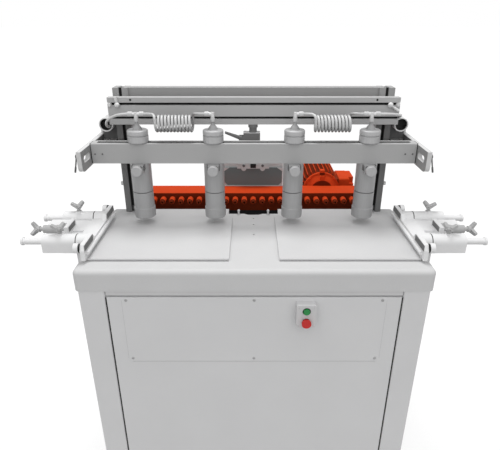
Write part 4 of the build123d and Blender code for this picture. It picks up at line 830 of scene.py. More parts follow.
class BORER_OT_gantry(bpy.types.Operator):
    """Painted shade in the rail's slots and holes and in the columns' slots, nuts of the rail, the valve's
    pale top as painted light, and the fittings of columns and stop pins
    """

    bl_idname = "borer.gantry"
    bl_label = "Gantry fittings"

    SLOT_DEEP = 0.014
    SLOT_SHADE_THICK = 0.004
    SLOTS = ((0.3205, 0.328), (0.362, 0.370))
    HOLE_X, HOLE_RISE = 0.374, 0.378
    HOLE = (0.0034, 0.0003)
    NUT_X, NUT_RISE = 0.438, 0.364
    NUT = (0.0062, 1.1)
    BOLT_BACK, BOLT_RISE = 0.0095, 0.0935
    BOLT = 1.4
    VALVE_IN = 0.0005
    VALVE_X = (-0.0315, -0.0145, 0.0105, 0.0195)
    VALVE_STEP = 0.013
    VALVE_RISE = (0.277, 0.2778)
    PIN = (0.05, -0.008, -0.0095)
    PIN_COLLAR = (0.0029, 0.0068, 0.003)
    COLUMN_X = 0.414
    COLUMN_SLOT_HALF = 0.0075
    COLUMN_SLOT_Y = (0.0115, 0.0128)
    COLUMN_SLOT_FOOT = 0.012
    COLUMN_SLOT_TOP = 0.0005

    def execute(self, context):
        low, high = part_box("fence_rail")
        back = low.y + self.SLOT_DEEP
        front = back - self.SLOT_SHADE_THICK
        slot_shades = [(spot(low.x, front, foot), spot(high.x, back, head)) for foot, head in self.SLOTS]
        add_boxes("rail_slot_shade", slot_shades, "base", "gantry_grey", "recess")
        places = [facing(spot(self.HOLE_X, low.y, self.HOLE_RISE, side), FRONT) for side in SIDES]
        add_turned("rail_hole_shade", disc(*self.HOLE), places, "base", "gantry_grey", "recess")
        places = [facing(spot(self.NUT_X, low.y, self.NUT_RISE, side), FRONT) for side in SIDES]
        add_bolts("rail_end_nuts", places, *self.NUT, "base", "foot_steel")
        low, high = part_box("gantry_frame")
        y = low.y + self.BOLT_BACK
        ends = ((low.x, LEFT), (high.x, RIGHT))
        places = [facing(spot(x, y, self.BOLT_RISE), normal) for x, normal in ends]
        bolt = scaled(SOCKET_HEAD, context.scene.borer_sizes.bolt * self.BOLT)
        add_turned("column_bolts", bolt, places, "base", "foot_steel")
        self.valve_top()
        places = [facing(spot(*self.PIN, side), UP) for side in SIDES]
        add_turned("pin_collars", washer(*self.PIN_COLLAR), places, "base", "foot_steel", steps=RING_STEPS)
        inner, outer = self.COLUMN_X - self.COLUMN_SLOT_HALF, self.COLUMN_X + self.COLUMN_SLOT_HALF
        front, back = self.COLUMN_SLOT_Y
        foot, head = WORK_Z + self.COLUMN_SLOT_FOOT, high.z - self.COLUMN_SLOT_TOP
        slot_shades = [
            ((side * inner, low.y + front, foot), (side * outer, low.y + back, head)) for side in SIDES
        ]
        add_boxes("column_slot_shade", slot_shades, "base", "gantry_grey", "recess")
        return {"FINISHED"}

    def valve_top(self):
        """Painted light: a pale plate on the hand valve's top, cut back in the middle."""
        front, rear = inset(*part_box("hand_valve"), "y", self.VALVE_IN)
        backs = (rear, front + self.VALVE_STEP, rear)
        foot, head = self.VALVE_RISE
        plates = [
            (spot(left, front, foot), spot(right, back, head))
            for left, right, back in zip(self.VALVE_X, self.VALVE_X[1:], backs)
        ]
        add_boxes("valve_top_light", plates, "base", "gantry_grey", "cabinet_grey")


class BORER_OT_bridge(bpy.types.Operator):
    """Hold-down cylinders and their shoes, and fittings of the beam, the arms, the hoses and the columns,
    many of them dark strips and linings that paint shade
    """

    bl_idname = "borer.bridge"
    bl_label = "Bridge fittings"

    # Beam
    BOLT_X = (-0.476, -0.454, 0.454, 0.476)
    BOLT_RISE = 0.232
    BOLT = 0.55
    END_GAP_SHADE = (0.0028, 0.0002)
    END_GAP_SHADE_IN = 0.0008
    SLOT_END = 0.02
    WALL_SHADE_Y = (0.0089, 0.0081)
    WALL_SHADE_Z = (0.004, 0.0015)
    FLOOR_SHADE_Y = (0.0082, 0.0085)
    FLOOR_SHADE_Z = (0.030, 0.028)

    # Clamp shoes
    SHOE_HALF = 0.0165
    SHOE_DOWN = 0.0135
    SHOE_LAP = 0.004
    SHOE_GAP = 0.0004
    SHOE_EDGE = 0.0015
    GAP_SHADE = (0.0002, 0.0027)
    GAP_SHADE_IN = 0.004

    # Hold-down cylinders
    KNOB_R = 0.016
    SPACING = 0.225
    BARREL_R = 0.031
    BARREL_EDGE = 0.0006
    BORE_R = 0.0152
    BORE_END = 0.008
    BAR = 0.0082
    NECK_HALF = 0.009
    LUG_HALF = 0.012
    LUG_BACK = 0.020
    CAP = (
        (0, 0),
        (0.0285, 0),
        (0.031, 0.0025),
        (0.031, 0.0202),
        (0.0284, 0.0216),
        (0.0284, 0.0230),
        (0.031, 0.0244),
        (0.031, 0.0338),
        (0.0302, 0.0362),
        (0.0286, 0.0377),
        (0.0264, 0.0383),
        (0.0155, 0.0386),
        (0.0146, 0.0392),
        (0.0136, 0.0420),
        (0.0112, 0.0462),
        (0.0087, 0.0494),
        (0.0064, 0.0520),
        (0.0047, 0.0550),
        (0.0045, 0.0735),
        (0, 0.0735),
    )

    # Hose fittings
    FITTING_RISE = 0.348
    TEES_FROM = 0.2
    COLLAR_OUT = 0.0108
    COLLAR = (
        (0.0042, 0),
        (0.0066, 0),
        (0.0072, 0.0008),
        (0.0072, 0.0118),
        (0.0064, 0.0128),
        (0.0042, 0.0128),
        (0.0042, 0),
    )
    NUT_DOWN = 0.0225
    NUT = (
        (0.0046, 0),
        (0.0062, 0),
        (0.0068, 0.001),
        (0.0068, 0.010),
        (0.0060, 0.012),
        (0.0046, 0.012),
        (0.0046, 0),
    )

    # Columns and conduits
    COLUMN_X = (0.390, 0.438)
    COLUMN_GAP = 0.0004
    SLEEVE_SHADE = 0.006
    SLEEVE_SHADE_RISE = 0.240
    SLEEVE_SHADE_TALL = 0.003
    MOUTH = (0.468, 0.007, 0.295)
    CONDUIT_SHADE = (
        (0.0184, 0.003),
        (0.0184, 0.0236),
        (0, 0.0236),
        (0, 0.0228),
        (0.0178, 0.0228),
        (0.0178, 0.003),
        (0.0184, 0.003),
    )
    LIP = (
        (0.0186, 0),
        (0.0221, 0),
        (0.0222, 0.0008),
        (0.0216, 0.0018),
        (0.0204, 0.0022),
        (0.0191, 0.0017),
        (0.0186, 0.0008),
        (0.0186, 0),
    )

    # Arms
    WEBS = (
        ((0.4395, 0.0345, 0.2435), (0.4885, 0.0385, 0.302)),
        ((0.4882, -0.0725, 0.205), (0.4889, 0.0335, 0.2585)),
    )
    LEVER_FOOT = (0.503, -0.181, 0.245)
    LEVER_BOSS = ((0, 0), (0.0065, 0), (0.0065, 0.004), (0.004, 0.0055), (0, 0.0055))
    LEVER_OUT = 0.0028
    LEVER_ROD = ((0, 0), (0.0022, 0.0004), (0.0019, 0.030), (0.0027, 0.033), (0.0027, 0.047), (0, 0.0485))
    LEVER_WAY = (0.2, -0.05, -1)
    LEVER_STEPS = 16

    def execute(self, context):
        low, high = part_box("bridge_beam")
        places = [facing(spot(x, low.y, self.BOLT_RISE), FRONT) for x in self.BOLT_X]
        bolt = scaled(PAN_HEAD, context.scene.borer_sizes.bolt * self.BOLT)
        add_turned("beam_bolts", bolt, places, "bridge", "bridge_grey", "shade_and_dark_grey")
        self.beam_parts(low, high)
        self.shoes(low)
        self.cylinders(low, high)
        self.column_parts()
        self.conduit_parts()
        self.arm_parts()
        self.fitting_parts()
        return {"FINISHED"}

    def presser_places(self):
        """Where the four hold-downs stand along the beam."""
        low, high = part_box("presser_knobs")
        outer = (high.x - low.x) / 2 - self.KNOB_R
        return (-outer, -outer + self.SPACING, outer - self.SPACING, outer)

    def beam_parts(self, low, high):
        """Painted shade: dark strips in the gaps at the beam's ends and dark linings in the slot along its
        top.
        """
        (front, back), (foot, head) = (inset(low, high, axis, self.END_GAP_SHADE_IN) for axis in "yz")
        near, far = (high.x - depth for depth in self.END_GAP_SHADE)
        gap_shades = [((side * near, front, foot), (side * far, back, head)) for side in SIDES]
        add_boxes("beam_end_gap_shade", gap_shades, "bridge", "bridge_grey", "recess")
        slot = low.x + self.SLOT_END
        (front, back), (foot, head) = self.WALL_SHADE_Y, self.WALL_SHADE_Z
        wall = ((slot, high.y - front, low.z + foot), (-slot, high.y - back, high.z - head))
        (front, back), (foot, head) = self.FLOOR_SHADE_Y, self.FLOOR_SHADE_Z
        floor = ((slot, low.y + front, high.z - foot), (-slot, high.y - back, high.z - head))
        add_boxes("beam_slot_shade", (wall, floor), "bridge", "bridge_grey", "shade_and_dark_grey")

    def shoes(self, low):
        """Clamp shoes between the knobs and the beam, with dark strips on both sides as painted shade in the
        gaps.
        """
        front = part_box("presser_knobs")[1].y
        height = halfway("presser_knobs", "z")
        back, head = low.y + self.SHOE_LAP, low.z - self.SHOE_GAP
        shoes, gap_shade_strips = [], []
        for x in self.presser_places():
            foot = height - self.SHOE_DOWN
            shoes.append(((x - self.SHOE_HALF, front, foot), (x + self.SHOE_HALF, back, head)))
            for side in SIDES:
                near, far = (x + side * (self.SHOE_HALF + out) for out in self.GAP_SHADE)
                foot = height - self.GAP_SHADE_IN
                gap_shade_strips.append(((near, front + self.GAP_SHADE_IN, foot), (far, back, head)))
        add_boxes("clamp_shoes", shoes, "bridge", "presser_grey", edge=self.SHOE_EDGE)
        add_boxes("shoe_gap_shade", gap_shade_strips, "bridge", "presser_grey", "shade_and_dark_grey")

    def cylinders(self, low, high):
        """Bored barrels with their lugs, the necks between the beam's bars and the round-edged caps."""
        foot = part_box("presser_cylinders")[0].z
        y = halfway("hose_fittings", "y")
        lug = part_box("presser_knobs")[1].y
        lug_foot = halfway("presser_knobs", "z") - self.LUG_HALF
        bore_top = low.z - self.BORE_END
        barrel = (
            (0, bore_top),
            (self.BORE_R, bore_top),
            (self.BORE_R, foot),
            (self.BARREL_R - self.BARREL_EDGE, foot),
            (self.BARREL_R, foot + self.BARREL_EDGE),
            (self.BARREL_R, low.z),
            (0, low.z),
        )
        bm = bmesh.new()
        for x in self.presser_places():
            lathe(bm, barrel, facing((x, y, 0), UP), ROUND_STEPS)
            left, right = x - self.NECK_HALF, x + self.NECK_HALF
            slab(bm, (left, low.y + self.BAR, low.z), (right, high.y - self.BAR, high.z))
            left, right = x - self.LUG_HALF, x + self.LUG_HALF
            slab(bm, (left, lug, lug_foot), (right, y - self.LUG_BACK, low.z))
            lathe(bm, self.CAP, facing((x, y, high.z), UP), ROUND_STEPS)
        piece = add_piece("hold_down_cylinders", bm, "bridge", "presser_grey")
        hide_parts("presser_cylinders")

    def column_parts(self):
        """Painted shade: dark strips round the columns at the top of the sleeves."""
        low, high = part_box("gantry_frame")
        inner, outer = self.COLUMN_X[0] - self.COLUMN_GAP, self.COLUMN_X[1] + self.COLUMN_GAP
        front, rear = low.y - self.COLUMN_GAP, high.y + self.COLUMN_GAP
        wide, foot, head = self.SLEEVE_SHADE, self.SLEEVE_SHADE_RISE, self.SLEEVE_SHADE_RISE + self.SLEEVE_SHADE_TALL
        sleeve_shades = []
        for side in SIDES:
            for near, far in ((inner - wide, inner), (outer, outer + wide)):
                sleeve_shades.append((spot(near, front - wide, foot, side), spot(far, rear + wide, head, side)))
            for near, far in ((front - wide, front), (rear, rear + wide)):
                sleeve_shades.append((spot(inner, near, foot, side), spot(outer, far, head, side)))
        add_boxes("column_sleeve_shade", sleeve_shades, "bridge", "bridge_grey", "recess")

    def conduit_parts(self):
        """Painted shade: dark linings in the conduits. Pale lips round their mouths, real rims whose paler
        finish paints a highlight.
        """
        for name, profile, normal, finish in (
            ("conduit_shade_linings", self.CONDUIT_SHADE, BACK, "bore_shade"),
            ("conduit_lips", self.LIP, FRONT, "fence_painted_light"),
        ):
            places = [facing(spot(*self.MOUTH, side), normal) for side in SIDES]
            add_turned(name, profile, places, "bridge", "bridge_grey", finish, RING_STEPS)

    def arm_parts(self):
        """Webs behind the beam, dark as painted shade, and a thin lever on each arm's nose."""
        webs = [(spot(*first, side), spot(*second, side)) for side in SIDES for first, second in self.WEBS]
        add_boxes("arm_web_shade", webs, "bridge", "bridge_grey", "shade_and_dark_grey")
        bm = bmesh.new()
        for side in SIDES:
            foot = spot(*self.LEVER_FOOT, side)
            lathe(bm, self.LEVER_BOSS, facing(foot, RIGHT * side))
            foot.x += side * self.LEVER_OUT
            out, back, rise = self.LEVER_WAY
            lathe(bm, self.LEVER_ROD, facing(foot, (side * out, back, rise)), self.LEVER_STEPS)
        add_piece("arm_levers", bm, "bridge", "bridge_grey", "shade_and_dark_grey")

    def fitting_parts(self):
        """Collars on the ends of the tees and elbows, and a nut under each of them."""
        y = middle("hose_fittings").y
        bm = bmesh.new()
        for x in self.presser_places():
            outward = math.copysign(1, x)
            for end in (-outward, outward) if abs(x) > self.TEES_FROM else (outward,):
                place = spot(x + end * self.COLLAR_OUT, y, self.FITTING_RISE)
                lathe(bm, self.COLLAR, facing(place, RIGHT * end))
            lathe(bm, self.NUT, facing(spot(x, y, self.FITTING_RISE - self.NUT_DOWN), UP))
        add_piece("fitting_collars", bm, "bridge", "fitting_grey", "collar_grey")


class BORER_OT_fences(bpy.types.Operator):
    """Ribbed rubber faces of both side fences, dark rings behind their screw knobs as painted shade, and
    wiper rings round their rods whose dark paints the shade in the joint
    """

    bl_idname = "borer.fences"
    bl_label = "Fence faces"

    EARS = ((-0.346, -0.271), (-0.126, -0.051))
    EAR_X = 0.461
    EAR_RISE = (0.0275, 0.0435)
    LUG_X = 0.544
    LUG_Y = (-0.228, -0.176)
    LUG_RISE = (0.031, 0.0455)
    PAD_X = (0.0002, -0.0008)
    RIB_X = (-0.0006, -0.0018)
    RIB_START = 0.25
    KNOB_X = 0.4731
    KNOB_IN = 0.013
    KNOB_RISE = 0.033
    KNOB_SHADE_RING = (0.0061, 0.0128, 0.0044)
    BOSS_FACE = 0.5040
    WIPER_SHADE_GAP = 0.0003
    ROD_Y = (-0.271, -0.104)
    ROD_RISE = 0.021
    ROD_WIPER_SHADE = (0.0099, 0.0224, 0.0024)
    WIPER_SHADE_STEPS = 40

    def ribbed(self, side, x, y, rise, pitch):
        """A thin pad with upright ribs, on a face that looks at the middle of the machine."""
        (start, end), (foot, head) = y, rise
        near, far = (x + out for out in self.PAD_X)
        boxes = [(spot(near, start, foot, side), spot(far, end, head, side))]
        near, far = (x + out for out in self.RIB_X)
        for step in range(int((end - start) / pitch)):
            edge = start + (step + self.RIB_START) * pitch
            boxes.append((spot(near, edge, foot, side), spot(far, edge + pitch / 2, head, side)))
        return boxes

    def execute(self, context):
        pitch = context.scene.borer_sizes.rib
        for hand, side in HANDS:
            body = f"side_fence_{hand}"
            boxes = []
            for ear in self.EARS:
                boxes += self.ribbed(side, self.EAR_X, ear, self.EAR_RISE, pitch)
            boxes += self.ribbed(side, self.LUG_X, self.LUG_Y, self.LUG_RISE, pitch)
            add_boxes(f"ribbed_faces_{hand}", boxes, body, "casting_grey", "ribbed_rubber")
            knobs = inset(*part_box(body), "y", self.KNOB_IN)
            places = [facing(spot(self.KNOB_X, y, self.KNOB_RISE, side), RIGHT * side) for y in knobs]
            rings = washer(*self.KNOB_SHADE_RING)
            add_turned(f"screw_washers_{hand}", rings, places, body, "casting_grey", "recess", RING_STEPS)
        x = self.BOSS_FACE + self.WIPER_SHADE_GAP
        places = [
            facing(spot(x, y, self.ROD_RISE, side), RIGHT * side) for side in SIDES for y in self.ROD_Y
        ]
        wiper_shade = washer(*self.ROD_WIPER_SHADE)
        add_turned("boss_wiper_shade", wiper_shade, places, "base", "casting_grey", "recess", self.WIPER_SHADE_STEPS)
        return {"FINISHED"}


class BORER_OT_head(bpy.types.Operator):
    """Face plate and chuck sleeves of the head, dark as painted shade, screws of the head, fittings of the
    motor, and parts of the upright
    """

    bl_idname = "borer.head"
    bl_label = "Head fittings"

    # Screws and bolts
    COVER_SCREWS = (-0.365, -0.29, -0.215, -0.14, 0.14, 0.365)
    COVER_SCREW_IN = 0.007
    COVER_SCREW = 0.8
    TIE_R = 0.0635
    TIE_BACK = 0.010
    TIE_BOLT = (0.0045, 1.0)
    COWL_R = 0.0737
    COWL_BACK = 0.012
    COWL_SCREW = 0.004
    LID_Y = (0.026, -0.015)
    LID_RISE = (-0.008, 0.043)
    LID_SCREW = 0.0032

    # Face plate and chuck sleeves, dark as painted shade
    SPINDLES = 23
    PITCH = 0.032
    SPINDLE_RISE = 0.0112
    HOLE_R = 0.0095
    HOLE_STEPS = 24
    FACE_PROUD = 0.0008
    FACE_SIDE = 0.001
    FACE_Z = (0.0008, -0.0012)
    FACE_THICK = 0.0006
    NEARLY_NONE = 1e-9
    WELD = 0.00001
    CHUCK_Y = 0.065
    SLEEVE = (
        (0.0060, 0),
        (0.0086, 0),
        (0.0086, 0.0004),
        (0.0065, 0.0006),
        (0.0064, 0.0119),
        (0.0059, 0.0125),
        (0.0043, 0.0125),
        (0.0043, 0.0121),
        (0.0060, 0.0121),
        (0.0060, 0),
    )
    BORE = (
        (0.00397, 0.012),
        (0.00397, -0.0118),
        (0, -0.0118),
        (0, -0.0114),
        (0.0038, -0.0114),
        (0.0038, 0.012),
        (0.00397, 0.012),
    )

    # Motor
    FIN_DEG = range(38, 329, 5)
    GROUND_R = (0.0678, 0.0685)
    GROUND_Y = (0.0225, -0.0005)
    BELL_FACE_SHADE = ((0.012, 0), (0.041, 0), (0.041, 0.0005), (0.012, 0.0005), (0.012, 0))
    BOSS = (Vector((-0.009, 0.176, 0.069)), Vector((0.009, 0.196, 0.0785)))
    BOSS_EDGE = 0.0012
    BOSS_FOOT_SHADE = (Vector((-0.0085, 0.1765, 0.061)), Vector((0.0085, 0.190, 0.0695)))

    # Saddle, upright and stop bracket
    UPRIGHT_HALF = 0.109
    UPRIGHT_IN = 0.0005
    UPRIGHT_Z = (-0.0045, 0.008)
    UPRIGHT_EDGE = 0.0008
    BRACKET_HALF = 0.058
    BRACKET_REACH = 0.016
    BRACKET_TALL = 0.010
    APRON_SHADE_IN = 0.002
    APRON_SHADE_THICK = 0.0014
    APRON_SHADE_RISE = (-0.053, -0.0335)
    CORNER = (0.019, 0.013)
    CORNER_THICK = 0.0008
    PLUNGER_HALF = 0.010
    PLUNGER_THICK = 0.003
    PLUNGER_Z = (-0.009, 0.006)
    PLUNGER_EDGE = 0.0006
    LOBE_X = 0.034
    LOBE_DOWN = 0.001
    LOBE_SCREW = 0.0052

    def execute(self, context):
        low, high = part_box("head_back_cover")
        heights = inset(low, high, "z", self.COVER_SCREW_IN)
        places = [facing((x, high.y, z), BACK) for x in self.COVER_SCREWS for z in heights]
        screw = scaled(SOCKET_HEAD, context.scene.borer_sizes.bolt * self.COVER_SCREW)
        add_turned("cover_screws", screw, places, "head", "bright_steel")
        self.motor_screws()
        self.face_parts()
        self.motor_parts()
        self.upright_parts(high.y)
        return {"FINISHED"}

    def motor_screws(self):
        """Tie bolts of the motor's bell, and screws of its cowl and its terminal box."""
        centre = middle("motor_fan_cowl")
        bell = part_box("motor_frame")[0].y + self.TIE_BACK
        axis = Vector((centre.x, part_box("motor_fan_cowl")[0].y + self.COWL_BACK, centre.z))
        ties, screws = [], []
        for quarter in range(4):
            angle = math.pi / 4 + quarter * math.pi / 2
            x, z = centre.x + self.TIE_R * math.cos(angle), centre.z + self.TIE_R * math.sin(angle)
            ties.append(facing((x, bell, z), FRONT))
            angle = quarter * math.pi / 2
            normal = Vector((math.cos(angle), 0, math.sin(angle)))
            screws.append(facing(axis + normal * self.COWL_R, normal))
        add_bolts("motor_tie_bolts", ties, *self.TIE_BOLT, "head", "head_red")
        add_turned("cowl_screws", scaled(PAN_HEAD, self.COWL_SCREW), screws, "head", "bright_steel")
        low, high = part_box("motor_terminal_box")
        depths = (low.y + self.LID_Y[0], high.y + self.LID_Y[1])
        places = [facing(spot(high.x, y, rise), RIGHT) for y in depths for rise in self.LID_RISE]
        add_turned("terminal_lid_screws", scaled(PAN_HEAD, self.LID_SCREW), places, "head", "bright_steel")

    def face_parts(self):
        """Painted shade: a dark plate behind the spindle noses, and on each chuck tip a sleeve with a dark
        bore lining.
        """
        low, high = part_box("head_housing")
        height = WORK_Z + self.SPINDLE_RISE
        upright = (low.z + self.FACE_Z[0], high.z + self.FACE_Z[1])
        places = [(step - self.SPINDLES // 2) * self.PITCH for step in range(self.SPINDLES)]
        ends = inset(low, high, "x", self.FACE_SIDE)
        bm = bmesh.new()
        for x in places:
            left = ends[0] if x == places[0] else x - self.PITCH / 2
            right = ends[1] if x == places[-1] else x + self.PITCH / 2
            self.holed_cell(bm, Vector((x, low.y - self.FACE_PROUD, height)), (left, right), upright)
        bmesh.ops.remove_doubles(bm, verts=bm.verts, dist=self.WELD)
        bmesh.ops.recalc_face_normals(bm, faces=bm.faces)
        bmesh.ops.solidify(bm, geom=bm.faces, thickness=self.FACE_THICK)
        add_piece("head_face_shade", bm, "head", "head_red", "head_shade")
        for number, x in enumerate(places, 1):
            bm = bmesh.new()
            place = facing((x, self.CHUCK_Y, height), FRONT)
            lathe(bm, self.SLEEVE, place)
            lathe(bm, self.BORE, place)
            add_piece(f"chuck_sleeve_{number:02d}", bm, f"spindle_{number:02d}", "spindle_red", "head_shade")

    def holed_cell(self, bm, centre, across, upright):
        """A flat rectangle with a round hole, made of a fan of four-sided faces."""
        corners = [math.atan2(z - centre.z, x - centre.x) for x in across for z in upright]
        evenly = [math.radians(360 / self.HOLE_STEPS * step - 180) for step in range(self.HOLE_STEPS)]
        rows = []
        for angle in sorted(evenly + corners):
            way = Vector((math.cos(angle), 0, math.sin(angle)))
            reaches = [
                (edges[part > 0] - start) / part
                for edges, part, start in ((across, way.x, centre.x), (upright, way.z, centre.z))
                if abs(part) > self.NEARLY_NONE
            ]
            rows.append([bm.verts.new(centre + way * reach) for reach in (self.HOLE_R, min(reaches))])
        for (inner, outer), (next_inner, next_outer) in zip(rows, rows[1:] + rows[:1]):
            bm.faces.new((inner, next_inner, next_outer, outer))

    def motor_parts(self):
        """Painted shade between the cooling fins and on the sunk face of the end bell, and the lifting boss
        with painted shade on its foot.
        """
        low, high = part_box("motor_frame")
        centre = spot(middle("motor_fan_cowl").x, 0, self.SPINDLE_RISE)
        inner, outer = self.GROUND_R
        front, back = low.y + self.GROUND_Y[0], high.y + self.GROUND_Y[1]
        bm = bmesh.new()
        rows = []
        for degrees in self.FIN_DEG:
            angle = math.radians(degrees)
            way = Vector((math.cos(angle), 0, math.sin(angle)))
            section = ((inner, front), (outer, front), (outer, back), (inner, back))
            rows.append([bm.verts.new(centre + way * radius + BACK * y) for radius, y in section])
        strip(bm, rows)
        bm.faces.new(rows[0])
        bm.faces.new(rows[-1])
        add_piece("fin_ground_shade", bm, "head", "head_red", "head_shade")
        places = [facing((centre.x, low.y, centre.z), FRONT)]
        add_turned("bell_face_shade", self.BELL_FACE_SHADE, places, "head", "head_red", "head_shade", ROUND_STEPS)
        boss = [[centre + corner for corner in self.BOSS]]
        add_boxes("lifting_boss", boss, "head", "head_red", edge=self.BOSS_EDGE)
        foot = [[centre + corner for corner in self.BOSS_FOOT_SHADE]]
        add_boxes("lifting_boss_foot_shade", foot, "head", "head_red", "head_shade")

    def upright_parts(self, face):
        """Cap and corner plates of the upright, a dark apron as painted shade on the saddle's front, and the
        stop bracket's plunger and screws.
        """
        low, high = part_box("head_saddle")
        near, far = face + self.UPRIGHT_IN, high.y - self.UPRIGHT_IN
        foot, head = (high.z + lift for lift in self.UPRIGHT_Z)
        front = face - self.BRACKET_REACH
        half, arm = self.UPRIGHT_HALF, self.BRACKET_HALF
        cap = ((-half, near, foot), (half, far, head))
        bracket = ((-arm, front, high.z), (arm, near, high.z + self.BRACKET_TALL))
        add_boxes("upright_cap", (cap, bracket), "head", "saddle_grey", edge=self.UPRIGHT_EDGE)
        left, right = inset(low, high, "x", self.APRON_SHADE_IN)
        foot, head = self.APRON_SHADE_RISE
        apron_shade = [(spot(left, low.y - self.APRON_SHADE_THICK, foot), spot(right, low.y, head))]
        add_boxes("saddle_apron_shade", apron_shade, "head", "saddle_grey", "recess")
        self.corner_plates()
        foot, head = (high.z + lift for lift in self.PLUNGER_Z)
        half = self.PLUNGER_HALF
        plunger = [((-half, front - self.PLUNGER_THICK, foot), (half, front, head))]
        add_boxes("stop_plunger", plunger, "head", "panel_dark", "recess", self.PLUNGER_EDGE)
        places = [facing((side * self.LOBE_X, front, high.z - self.LOBE_DOWN), FRONT) for side in SIDES]
        screw = scaled(PAN_HEAD, self.LOBE_SCREW)
        add_turned("stop_bracket_screws", screw, places, "head", "saddle_grey", "shade_and_dark_grey")

    def corner_plates(self):
        """Thin plates that cut the panel's upper corners."""
        low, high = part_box("stop_panel")
        wide, tall = self.CORNER
        bm = bmesh.new()
        for side in SIDES:
            corner = Vector((side * high.x, low.y, high.z))
            legs = (Vector((0, 0, 0)), Vector((-side * wide, 0, 0)), Vector((0, 0, -tall)))
            rows = [
                [bm.verts.new(corner + leg + lift) for leg in legs]
                for lift in (Vector((0, 0, 0)), FRONT * self.CORNER_THICK)
            ]
            for row in rows:
                bm.faces.new(row)
            strip(bm, rows)
        add_piece("panel_corner_plates", bm, "head", "saddle_grey")


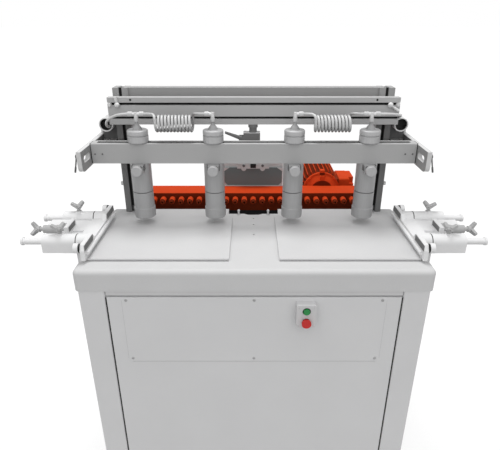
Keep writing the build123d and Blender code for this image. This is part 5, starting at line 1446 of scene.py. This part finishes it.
class BORER_OT_stage(bpy.types.Operator):
    """White floor, light from a pale sky and the camera at the photograph's angle"""

    bl_idname = "borer.stage"
    bl_label = "Stage"

    CAMERA = (-0.0115, -1.469, 1.5167)
    PITCH_DEG = 65.56
    LENS = 33.55
    SENSOR = 36
    CLIP = 0.05
    AMBIENT = 0.30
    LOBES = (((0, -0.72, 0.694), 1.15), ((0, 0.4, 0.917), 0.15))
    LOBE_POWER = 2.0
    FACTOR, FIRST, SECOND = 0, 2, 3
    LAMP = (-0.15, 0.3, 3.2)
    LAMP_SIZE = 0.8
    LAMP_POWER = 28
    FLOOR_HALF = 60
    FLOOR_TONES = ((0.43, 0.43, 0.43), (0.47, 0.47, 0.47))
    FLOOR_CLOUD = 2
    FLOOR_ROUGH = 0.9
    SHADOW_TONE = (0.9, 0.9, 0.9, 1)
    GLOW = 1.22
    GLOW_SHARE = 0.6

    def execute(self, context):
        scene = context.scene
        scene.view_settings.view_transform = "Standard"
        self.world(scene)
        self.floor()
        self.lamp(scene)
        camera = bpy.data.cameras.new("camera")
        camera.lens = self.LENS
        camera.sensor_width = self.SENSOR
        camera.sensor_fit = "HORIZONTAL"
        camera.clip_start = self.CLIP
        holder = bpy.data.objects.new("camera", camera)
        holder.location = self.CAMERA
        holder.rotation_euler = (math.radians(self.PITCH_DEG), 0, 0)
        scene.collection.objects.link(holder)
        scene.camera = holder
        return {"FINISHED"}

    def lamp(self, scene):
        """A soft lamp overhead, for the highlights."""
        light = bpy.data.lights.new("soft lamp", "AREA")
        light.shape = "SQUARE"
        light.size = self.LAMP_SIZE
        light.energy = self.LAMP_POWER
        holder = bpy.data.objects.new("soft lamp", light)
        holder.location = self.LAMP
        towards = Vector((0, 0, WORK_Z)) - holder.location
        holder.rotation_euler = towards.to_track_quat("-Z", "Y").to_euler()
        holder.visible_camera = False
        scene.collection.objects.link(holder)

    def seen(self, nodes, links):
        """1 where the camera, a mirror or a glass looks, 0 for light that falls on dull surfaces."""
        path = nodes.new("ShaderNodeLightPath")
        total = path.outputs["Is Camera Ray"]
        for kind in ("Is Glossy Ray", "Is Transmission Ray"):
            total = self.number(nodes, links, "MAXIMUM", total, path.outputs[kind])
        return total

    def number(self, nodes, links, operation, first, second):
        """The outcome of a sum on two numbers or sockets."""
        node = nodes.new("ShaderNodeMath")
        node.operation = operation
        for socket, value in zip(node.inputs, (first, second)):
            if isinstance(value, bpy.types.NodeSocket):
                links.new(value, socket)
            else:
                socket.default_value = value
        return node.outputs[0]

    def world(self, scene):
        """A sky that lights the machine from above only, and is plain white where it is seen."""
        world = bpy.data.worlds.new("studio")
        world.use_nodes = True
        scene.world = world
        nodes, links = world.node_tree.nodes, world.node_tree.links
        nodes.clear()
        way = nodes.new("ShaderNodeTexCoord").outputs["Generated"]
        sky = None
        for axis, power in self.LOBES:
            towards = nodes.new("ShaderNodeVectorMath")
            towards.operation = "DOT_PRODUCT"
            towards.inputs[1].default_value = axis
            links.new(way, towards.inputs[0])
            lobe = self.number(nodes, links, "MAXIMUM", towards.outputs["Value"], 0.0)
            lobe = self.number(nodes, links, "POWER", lobe, self.LOBE_POWER)
            lobe = self.number(nodes, links, "MULTIPLY", lobe, power)
            sky = self.number(nodes, links, "ADD", lobe, sky or self.AMBIENT)
        strength = nodes.new("ShaderNodeMix")
        links.new(self.seen(nodes, links), strength.inputs[self.FACTOR])
        links.new(sky, strength.inputs[self.FIRST])
        strength.inputs[self.SECOND].default_value = 1.0
        light = nodes.new("ShaderNodeBackground")
        light.inputs["Color"].default_value = (1, 1, 1, 1)
        links.new(strength.outputs[0], light.inputs["Strength"])
        output = nodes.new("ShaderNodeOutputWorld")
        links.new(light.outputs[0], output.inputs[0])

    def floor(self):
        """A wide floor: white with the machine's soft shadow where it is seen, dull for bounced light."""
        bm = bmesh.new()
        bmesh.ops.create_grid(bm, x_segments=1, y_segments=1, size=self.FLOOR_HALF)
        mesh = bpy.data.meshes.new("floor")
        bm.to_mesh(mesh)
        bm.free()
        floor = bpy.data.objects.new("floor", mesh)
        bpy.context.scene.collection.objects.link(floor)
        finish = Finish("white floor")
        nodes, links = finish.nodes, finish.links
        finish.colour(finish.mix(finish.noise(self.FLOOR_CLOUD), *self.FLOOR_TONES))
        finish.shader.inputs["Roughness"].default_value = self.FLOOR_ROUGH
        shadowed = nodes.new("ShaderNodeBsdfDiffuse")
        shadowed.inputs["Color"].default_value = self.SHADOW_TONE
        glow = nodes.new("ShaderNodeEmission")
        glow.inputs["Strength"].default_value = self.GLOW
        bright = nodes.new("ShaderNodeMixShader")
        bright.inputs[0].default_value = self.GLOW_SHARE
        links.new(shadowed.outputs[0], bright.inputs[1])
        links.new(glow.outputs[0], bright.inputs[2])
        choice = nodes.new("ShaderNodeMixShader")
        links.new(self.seen(nodes, links), choice.inputs[0])
        links.new(finish.shader.outputs[0], choice.inputs[1])
        links.new(bright.outputs[0], choice.inputs[2])
        output = next(node for node in nodes if node.type == "OUTPUT_MATERIAL")
        links.new(choice.outputs[0], output.inputs[0])
        mesh.materials.append(finish.material)


class BORER_PT_panel(bpy.types.Panel):
    """Lists the steps that dress the machine"""

    bl_idname = "BORER_PT_panel"
    bl_label = "Boring Machine"
    bl_space_type = "VIEW_3D"
    bl_region_type = "UI"
    bl_category = "Boring Machine"

    def draw(self, context):
        for step in STEPS:
            self.layout.operator(step.bl_idname)
        for group in (context.scene.borer_colours, context.scene.borer_sizes):
            for name in group.__annotations__:
                self.layout.prop(group, name)


STEPS = (
    BORER_OT_stage,
    BORER_OT_finishes,
    BORER_OT_hoses,
    BORER_OT_cabinet,
    BORER_OT_gantry,
    BORER_OT_bridge,
    BORER_OT_fences,
    BORER_OT_head,
)
CLASSES = (BorerColours, BorerSizes, *STEPS, BORER_PT_panel)


def register():
    """Add the classes and the scene's settings."""
    for entry in CLASSES:
        bpy.utils.register_class(entry)
    bpy.types.Scene.borer_colours = PointerProperty(type=BorerColours)
    bpy.types.Scene.borer_sizes = PointerProperty(type=BorerSizes)


def unregister():
    """Take the classes and the scene's settings away again."""
    del bpy.types.Scene.borer_sizes
    del bpy.types.Scene.borer_colours
    for entry in reversed(CLASSES):
        bpy.utils.unregister_class(entry)


def main():
    """Dress the machine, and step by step."""
    register()
    for step in STEPS:
        group, action = step.bl_idname.split(".")
        getattr(getattr(bpy.ops, group), action)()


if __name__ == "__main__":
    main()
